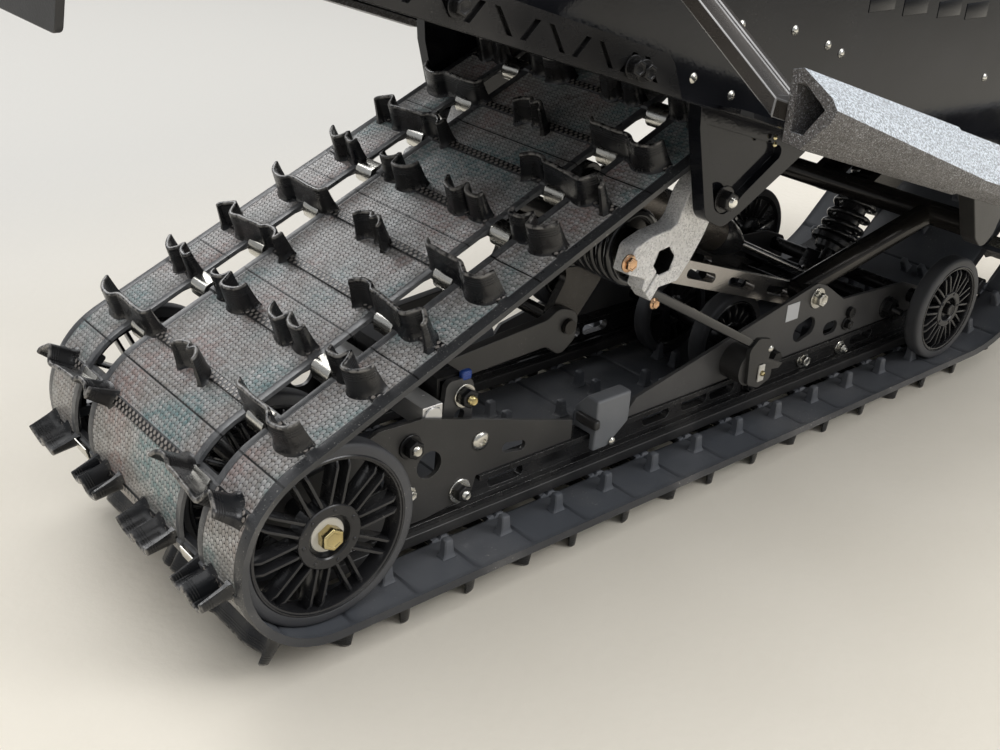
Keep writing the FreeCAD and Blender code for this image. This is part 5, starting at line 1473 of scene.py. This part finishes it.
@dataclass
class Dampers:
    """Rear damper, front damper with its coil, and what hangs on them."""

    rear: Strut = field(default_factory=lambda: Strut((450, 345), (925, 117)))
    front: Strut = field(default_factory=lambda: Strut((925, 117), (1060, 300)))

    def build(self) -> None:
        """Makes both dampers."""
        s = self.rear
        n = s.length
        body = s.turned("rear_shock_body", [
            (0.03 * n, 9), (0.03 * n, 14), (0.065 * n, 20), (0.075 * n, 25), (0.09 * n, 25.8),
            (0.49 * n, 25.8), (0.50 * n, 24.4), (0.50 * n, 9)], BRONZE, 64)
        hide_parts("rear_shock")
        s.turned("rear_shock_cap", [(0.495 * n, 10), (0.495 * n, 25.6), (0.505 * n, 26.0),
                                    (0.53 * n, 26.0), (0.54 * n, 24), (0.56 * n, 22),
                                    (0.60 * n, 14), (0.60 * n, 6)], MOULDED, 64)
        s.turned("rear_shock_rod", [(0.58 * n, 1), (0.58 * n, 7), (0.93 * n, 7),
                                    (0.94 * n, 11), (0.965 * n, 11), (0.97 * n, 1)], BRIGHT, 32)
        s.eye("rear_shock_eye_rear", False, 17.0, BLACK_STEEL)
        s.eye("rear_shock_eye_front", True, 17.0, BLACK_STEEL)
        f = self.front
        m = f.length
        shaft = f.turned("front_shock_body", [
            (0.12 * m, 1), (0.12 * m, 9), (0.19 * m, 9), (0.19 * m, 22), (0.225 * m, 24),
            (0.235 * m, 33), (0.262 * m, 34), (0.27 * m, 33), (0.275 * m, 18.8),
            (0.755 * m, 18.8), (0.765 * m, 32), (0.775 * m, 34), (0.795 * m, 33.5),
            (0.80 * m, 20), (0.95 * m, 19), (0.95 * m, 1)], MOULDED, 48)
        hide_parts("front_shock")
        coil = f.coil("front_spring_wound", 0.285 * m, 0.745 * m, 6.5, 26.6, 4.6, SPRING)
        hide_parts("front_spring")
        f.eye("front_shock_eye_top", True, 14.0, BLACK_STEEL)
        for side in (-18.0, 18.0):
            fork = Bench.block("front_shock_fork", (0.040, 0.008, 0.030), 0.003)
            start, end = station(925, side, 117), f.seat @ Vector((0, 0.19 * m * MM, 0))
            end.y = side * MM
            turn = (end - start).to_track_quat("X", "Y").to_matrix().to_4x4()
            fork.data.transform(Matrix.Translation((start + end) / 2 - (end - start) * 0.08)
                                @ turn)
            fork.name = f"front_shock_fork_{'right' if side < 0 else 'left'}"
            Bench.dress(fork, BLACK_STEEL)


@dataclass
class Studio:
    """Plain pale floor, soft lamps and the camera at the photograph's place.

    Attributes:
        eye: Station of the camera.
        yaw: Heading of the view from +X towards +Y, in degrees.
        pitch: Rise of the view in degrees.
        roll: Turn about the view in degrees.
        lens: Focal length for a sensor 36 mm wide.
    """

    eye: Point3 = (-476.2, -938.2, 750.0)
    yaw: float = 48.86
    pitch: float = -26.64
    roll: float = 3.28
    lens: float = 43.946

    def build(self) -> None:
        """Makes the stage."""
        self.camera()
        self.floor()
        self.lamps()
        view = bpy.context.scene.view_settings
        view.view_transform = "Standard"

    def camera(self) -> None:
        """Camera with the photograph's direction, roll and field."""
        y, p, r = (math.radians(a) for a in (self.yaw, self.pitch, self.roll))
        ahead = Vector((math.cos(p) * math.cos(y), math.cos(p) * math.sin(y), math.sin(p)))
        right = Vector((math.sin(y), -math.cos(y), 0))
        up = right.cross(ahead)
        across = math.cos(r) * right + math.sin(r) * up
        above = -math.sin(r) * right + math.cos(r) * up
        data = bpy.data.cameras.new("view")
        data.lens, data.sensor_width, data.sensor_fit = self.lens, 36.0, "HORIZONTAL"
        data.clip_start, data.clip_end = 0.02, 60.0
        camera = Bench.stand("view", data)
        camera.matrix_world = Matrix.Translation(station(*self.eye)) @ Matrix(
            ((across.x, above.x, -ahead.x), (across.y, above.y, -ahead.y),
             (across.z, above.z, -ahead.z))).to_4x4()
        bpy.context.scene.camera = camera

    def floor(self) -> None:
        """Wide pale floor."""
        Bench.clear()
        bpy.ops.mesh.primitive_plane_add(size=40.0, location=(0, 0, -0.0002))
        floor = bpy.context.object
        floor.name = "floor"
        w = Wires("pale_floor")
        colour = w.blend(w.step(w.noise(3.0, 5.0), 0.3, 0.7), (0.79, 0.735, 0.63),
                         (0.83, 0.775, 0.67))
        # Painted light and shade: the floor colour fades from light near the machine to darker
        # towards +Y, evening out the lamps' light.
        far = w.split(w.place)[1]
        colour = w.blend(w.step(far, 0.0, 1.4), colour, (0.55, 0.535, 0.50))
        floor.data.materials.append(w.finish(colour, 0.75, w.relief(w.noise(90.0, 5.0), 0.0006)))

    def lamps(self) -> None:
        """Soft boxes above and a pale world."""
        table = (("ceiling", (0.2, -0.4, 3.4), (0.2, -0.4, 0.0), 7.0, 180.0),
                 ("over", (-0.6, 4.6, 3.9), (0.0, 0.0, 0.2), 3.0, 135.0),
                 ("rear_left", (-3.6, 1.2, 1.6), (-0.3, 0.0, 0.3), 1.4, 3.0),
                 ("front_right", (1.4, -2.6, 2.1), (0.1, -0.1, 0.3), 1.4, 36.0))
        for name, place, target, size, power in table:
            data = bpy.data.lights.new(name, "AREA")
            data.shape, data.size, data.energy = "SQUARE", size, power
            lamp = Bench.stand(name, data)
            lamp.location = place
            aim = (Vector(target) - Vector(place)).to_track_quat("-Z", "Y")
            lamp.rotation_euler = aim.to_euler()
        world = bpy.data.worlds.new("pale_room")
        bpy.context.scene.world = world
        world.use_nodes = True
        sky = world.node_tree.nodes["Background"]
        sky.inputs["Color"].default_value = (0.86, 0.88, 0.92, 1.0)
        sky.inputs["Strength"].default_value = 0.42


@dataclass
class RearChassis:
    """The whole model, built in order."""

    eased: tuple[CastPart, ...] = (
        CastPart("rear_axle", BLACK_STEEL, 0.6, trim=175.5),
        CastPart("front_axle", BLACK_STEEL, 0.6, trim=175.5),
        CastPart("bogie_axle", BLACK_STEEL, 0.6), CastPart("carrier_axle", BLACK_STEEL, 0.6),
        CastPart("cross_shaft", BLACK_STEEL, 0.6),
        CastPart("slide_rails", RAIL, 0.7, edge=EDGE_HIGHLIGHT),
        CastPart("slide_runners", RUNNER, 1.6),
        CastPart("rear_plates", PLATE, 0.7, trim=121.6, edge=EDGE_HIGHLIGHT),
        CastPart("front_plates", FRONT_PLATE, 0.7), CastPart("bright_cross_bar", POLISHED, 0.9),
        CastPart("black_cross_bar", BLACK_STEEL, 0.9),
        CastPart("post_brackets", FRONT_PLATE, 0.9, trim=107.6),
        CastPart("idler_arms", CAST, 1.4, 3, hollow=(384.0, 319.0, 16.8)),
        CastPart("rear_arm", ARM_TUBE, 1.0),
        CastPart("rear_shackles", PLATE, 1.2), CastPart("spring_cams", PLATE, 0.9),
        CastPart("spring_blocks", BLOCK, 2.6, 4), CastPart("slotted_links", LINK, 1.4, 3),
        CastPart("link_pin", BLACK_STEEL, 0.6), CastPart("link_studs", BLACK_STEEL, 0.6),
        CastPart("front_arm", ARM_TUBE, 0.8), CastPart("front_hangers", PLATE, 1.4),
        CastPart("drive_shaft", BLACK_STEEL, 1.2), CastPart("tunnel", GLOSS, 0.8),
        CastPart("truss_rails", BLACK_STEEL, 0.8), CastPart("drop_brackets", GLOSS, 2.4, 3),
        CastPart("bracket_bolts", BLACK_STEEL, 0.6), CastPart("running_boards", GLOSS, 0.8),
        CastPart("board_tube_covers", GRIT, 1.8, 3, fall=(270.0, 505.0, 14.0)),
        CastPart("board_tubes", GRIT, 1.8, 3, fall=(270.0, 505.0, 14.0)),
        CastPart("braces", BRONZE, 1.2, edge=EDGE_HIGHLIGHT), CastPart("cooler", BLACK_STEEL, 0.8),
        CastPart("rear_bumper", GLOSS, 0.6), CastPart("snow_flap", FLAP, 1.2))
    wheels: tuple[Wheel, ...] = (
        Wheel("rear_wheels", 0, 139.5, -171, 90.5, 10, 33, 21),
        Wheel("rear_wheels_inner", 0, 139.5, -62, 90.5, 10, 33, 21),
        Wheel("front_wheels", 981, 121, -171, 72, 12, 26, 16),
        Wheel("bogie_wheels", 680, 109, -48, 60, 16, 22, 14, False),
        Wheel("carrier_wheels", 625, 438.873, -95, 70, 16, 24, 15, False),
        Wheel("arm_wheels", 405, 256, -24, 48, 14, 20, 13, False))

    def build(self) -> None:
        """Builds every sub-assembly and logs it."""
        Track().build()
        log.info("track built")
        for wheel in self.wheels:
            wheel.build()
            log.info("%s built", wheel.node)
        TorsionSprings().build()
        Dampers().build()
        log.info("springs and dampers built")
        for part in self.eased:
            part.build()
            log.info("%s eased", part.node)
        hardware = Hardware("fasteners")
        hardware.add(HARDWARE)
        hardware.build()
        for tab in TABS:
            tab.build()
            log.info("%s built", tab.name)
        log.info("fasteners built")


TUNNEL_RIVETS = ((413, 550), (492, 539), (548, 520), (572, 510), (356, 509),
                 (411, 487), (860, 455), (980, 440), (1100, 430), (1220, 425))

HARDWARE: list[Fastener] = [
    Fastener(Head.WASHER, 0, 139.5, -174.6, 8, CREAM, 17.0),
    Fastener(Head.HEX, 0, 139.5, -176.8, 11.5, YELLOW_ZINC),
    Fastener(Head.NUT, 128, 160, -121.5, 10, BLACK_STEEL, 13.0),
    Fastener(Head.STUD, 128, 160, -121.5, 5.6, ZINC, stud=14.0),
    Fastener(Head.BUTTON, 216, 138, -121.5, 11, ZINC),
    Fastener(Head.WASHER, 191, 88, -121.5, 6, ZINC, 13.5),
    Fastener(Head.NUT, 191, 88, -123.7, 9.5, BLACK_STEEL),
    Fastener(Head.STUD, 191, 88, -121.5, 5.2, ZINC, stud=14.0),
    Fastener(Head.HEX, 128, 107, -121.5, 5.5, ZINC, 7.5),
    Fastener(Head.WASHER, 204, 187, -107.4, 6, ZINC, 13.0),
    Fastener(Head.NUT, 204, 187, -109.4, 10.5, BLACK_STEEL),
    Fastener(Head.STUD, 204, 187, -107.4, 5.2, YELLOW_ZINC, stud=16.6),
    Fastener(Head.WASHER, 158, 181, -116.3, 0.4, POLISHED, 10.6),
    Fastener(Head.RIVET, 394, 86, -136, 4.5, ZINC),
    Fastener(Head.FLANGE, 332, 328, -190, 7.0, COPPER_ZINC),
    Fastener(Head.FLANGE, 375, 276, -190, 4.6, COPPER_ZINC),
    Fastener(Head.BUTTON, 617, 117, -158.4, 3.6, YELLOW_ZINC),
    Fastener(Head.RIVET, 630, 145, -156.7, 4.2, ZINC),
    Fastener(Head.RIVET, 487, 437, -222, 2.6, YELLOW_ZINC),
    Fastener(Head.RIVET, 488, 430, -222, 2.6, YELLOW_ZINC),
    Fastener(Head.HEX, 759, 168, -121.5, 9.5, ZINC, 14),
    Fastener(Head.HEX, 757, 80, -116.5, 7.5, ZINC, 11),
    Fastener(Head.NUT, 837, 77, -116.5, 6.5, ZINC, 9.5, 4),
    Fastener(Head.NUT, 647, 75, -116.5, 6.5, BLACK_STEEL, 9.0, 4),
    Fastener(Head.HEX, 835, 114, -121.5, 6.5, BLACK_STEEL, 9.0),
    Fastener(Head.NUT, 925, 116, -121.5, 8.5, BLACK_STEEL, 15.5, 16),
    Fastener(Head.HEX, 981, 121, -175.3, 8.5, BLACK_STEEL, 11.0),
    Fastener(Head.NUT, 430, 382, -215, 10, BLACK_STEEL, 14),
    Fastener(Head.STUD, 430, 382, -215, 5.4, ZINC, stud=14.0),
]
HARDWARE += [Fastener(Head.RIVET, x, z, -222, 4.6, ZINC) for x, z in TUNNEL_RIVETS]
HARDWARE += [Fastener(Head.HEX, x, z, -231, 7.5, BLACK_STEEL, 10.0)
             for x, z in ((81, 593), (268, 530), (282, 525))]


@dataclass(frozen=True)
class Tab:
    """A small rounded plate that sits on a larger part, on both sides.

    Attributes:
        name: Name of the piece.
        centre: Station of its middle on the right-hand side.
        size: Size along X, Y and Z in millimetres.
        round: Radius of its edges.
        finish: Finish.
    """

    name: str
    centre: Point3
    size: Point3
    round: float
    finish: Finish

    def build(self) -> None:
        """Makes the plate and its mirror image."""
        size = tuple(side * MM for side in self.size)
        piece = Bench.block(self.name, size, self.round * MM, 3)
        seat = Matrix.Translation(station(*self.centre))
        Bench.dress(Bench.pair(piece, seat, self.name), self.finish)


TABS = (Tab("cam_pads", (617, -157.6, 117), (11, 2.4, 22), 1.1, CREAM),
        Tab("plate_patches", (712, -121.8, 160), (24, 0.9, 23), 0.4, PALE),
        Tab("post_tabs", (207, -104.2, 208.0), (13, 7.5, 11), 2.6, BLUE),
        Tab("block_brackets", (366, -123.5, 115), (9, 33, 12), 3.2, PLATE),
        *(Tab(f"tunnel_panel_{mark}", (x, -222.2, z), (44, 1.0, 17), 0.45, GLOSS)
          for mark, x, z in (("a", 628, 555), ("b", 689, 547), ("c", 755, 540),
                             ("d", 811, 534))))


def main() -> None:
    """Builds the model and its stage."""
    RearChassis().build()
    Studio().build()
    Bench.clear()
    log.info("sizes written")


if __name__ == "__main__":
    logging.basicConfig(level=logging.INFO, format="%(name)s %(message)s")
    main()
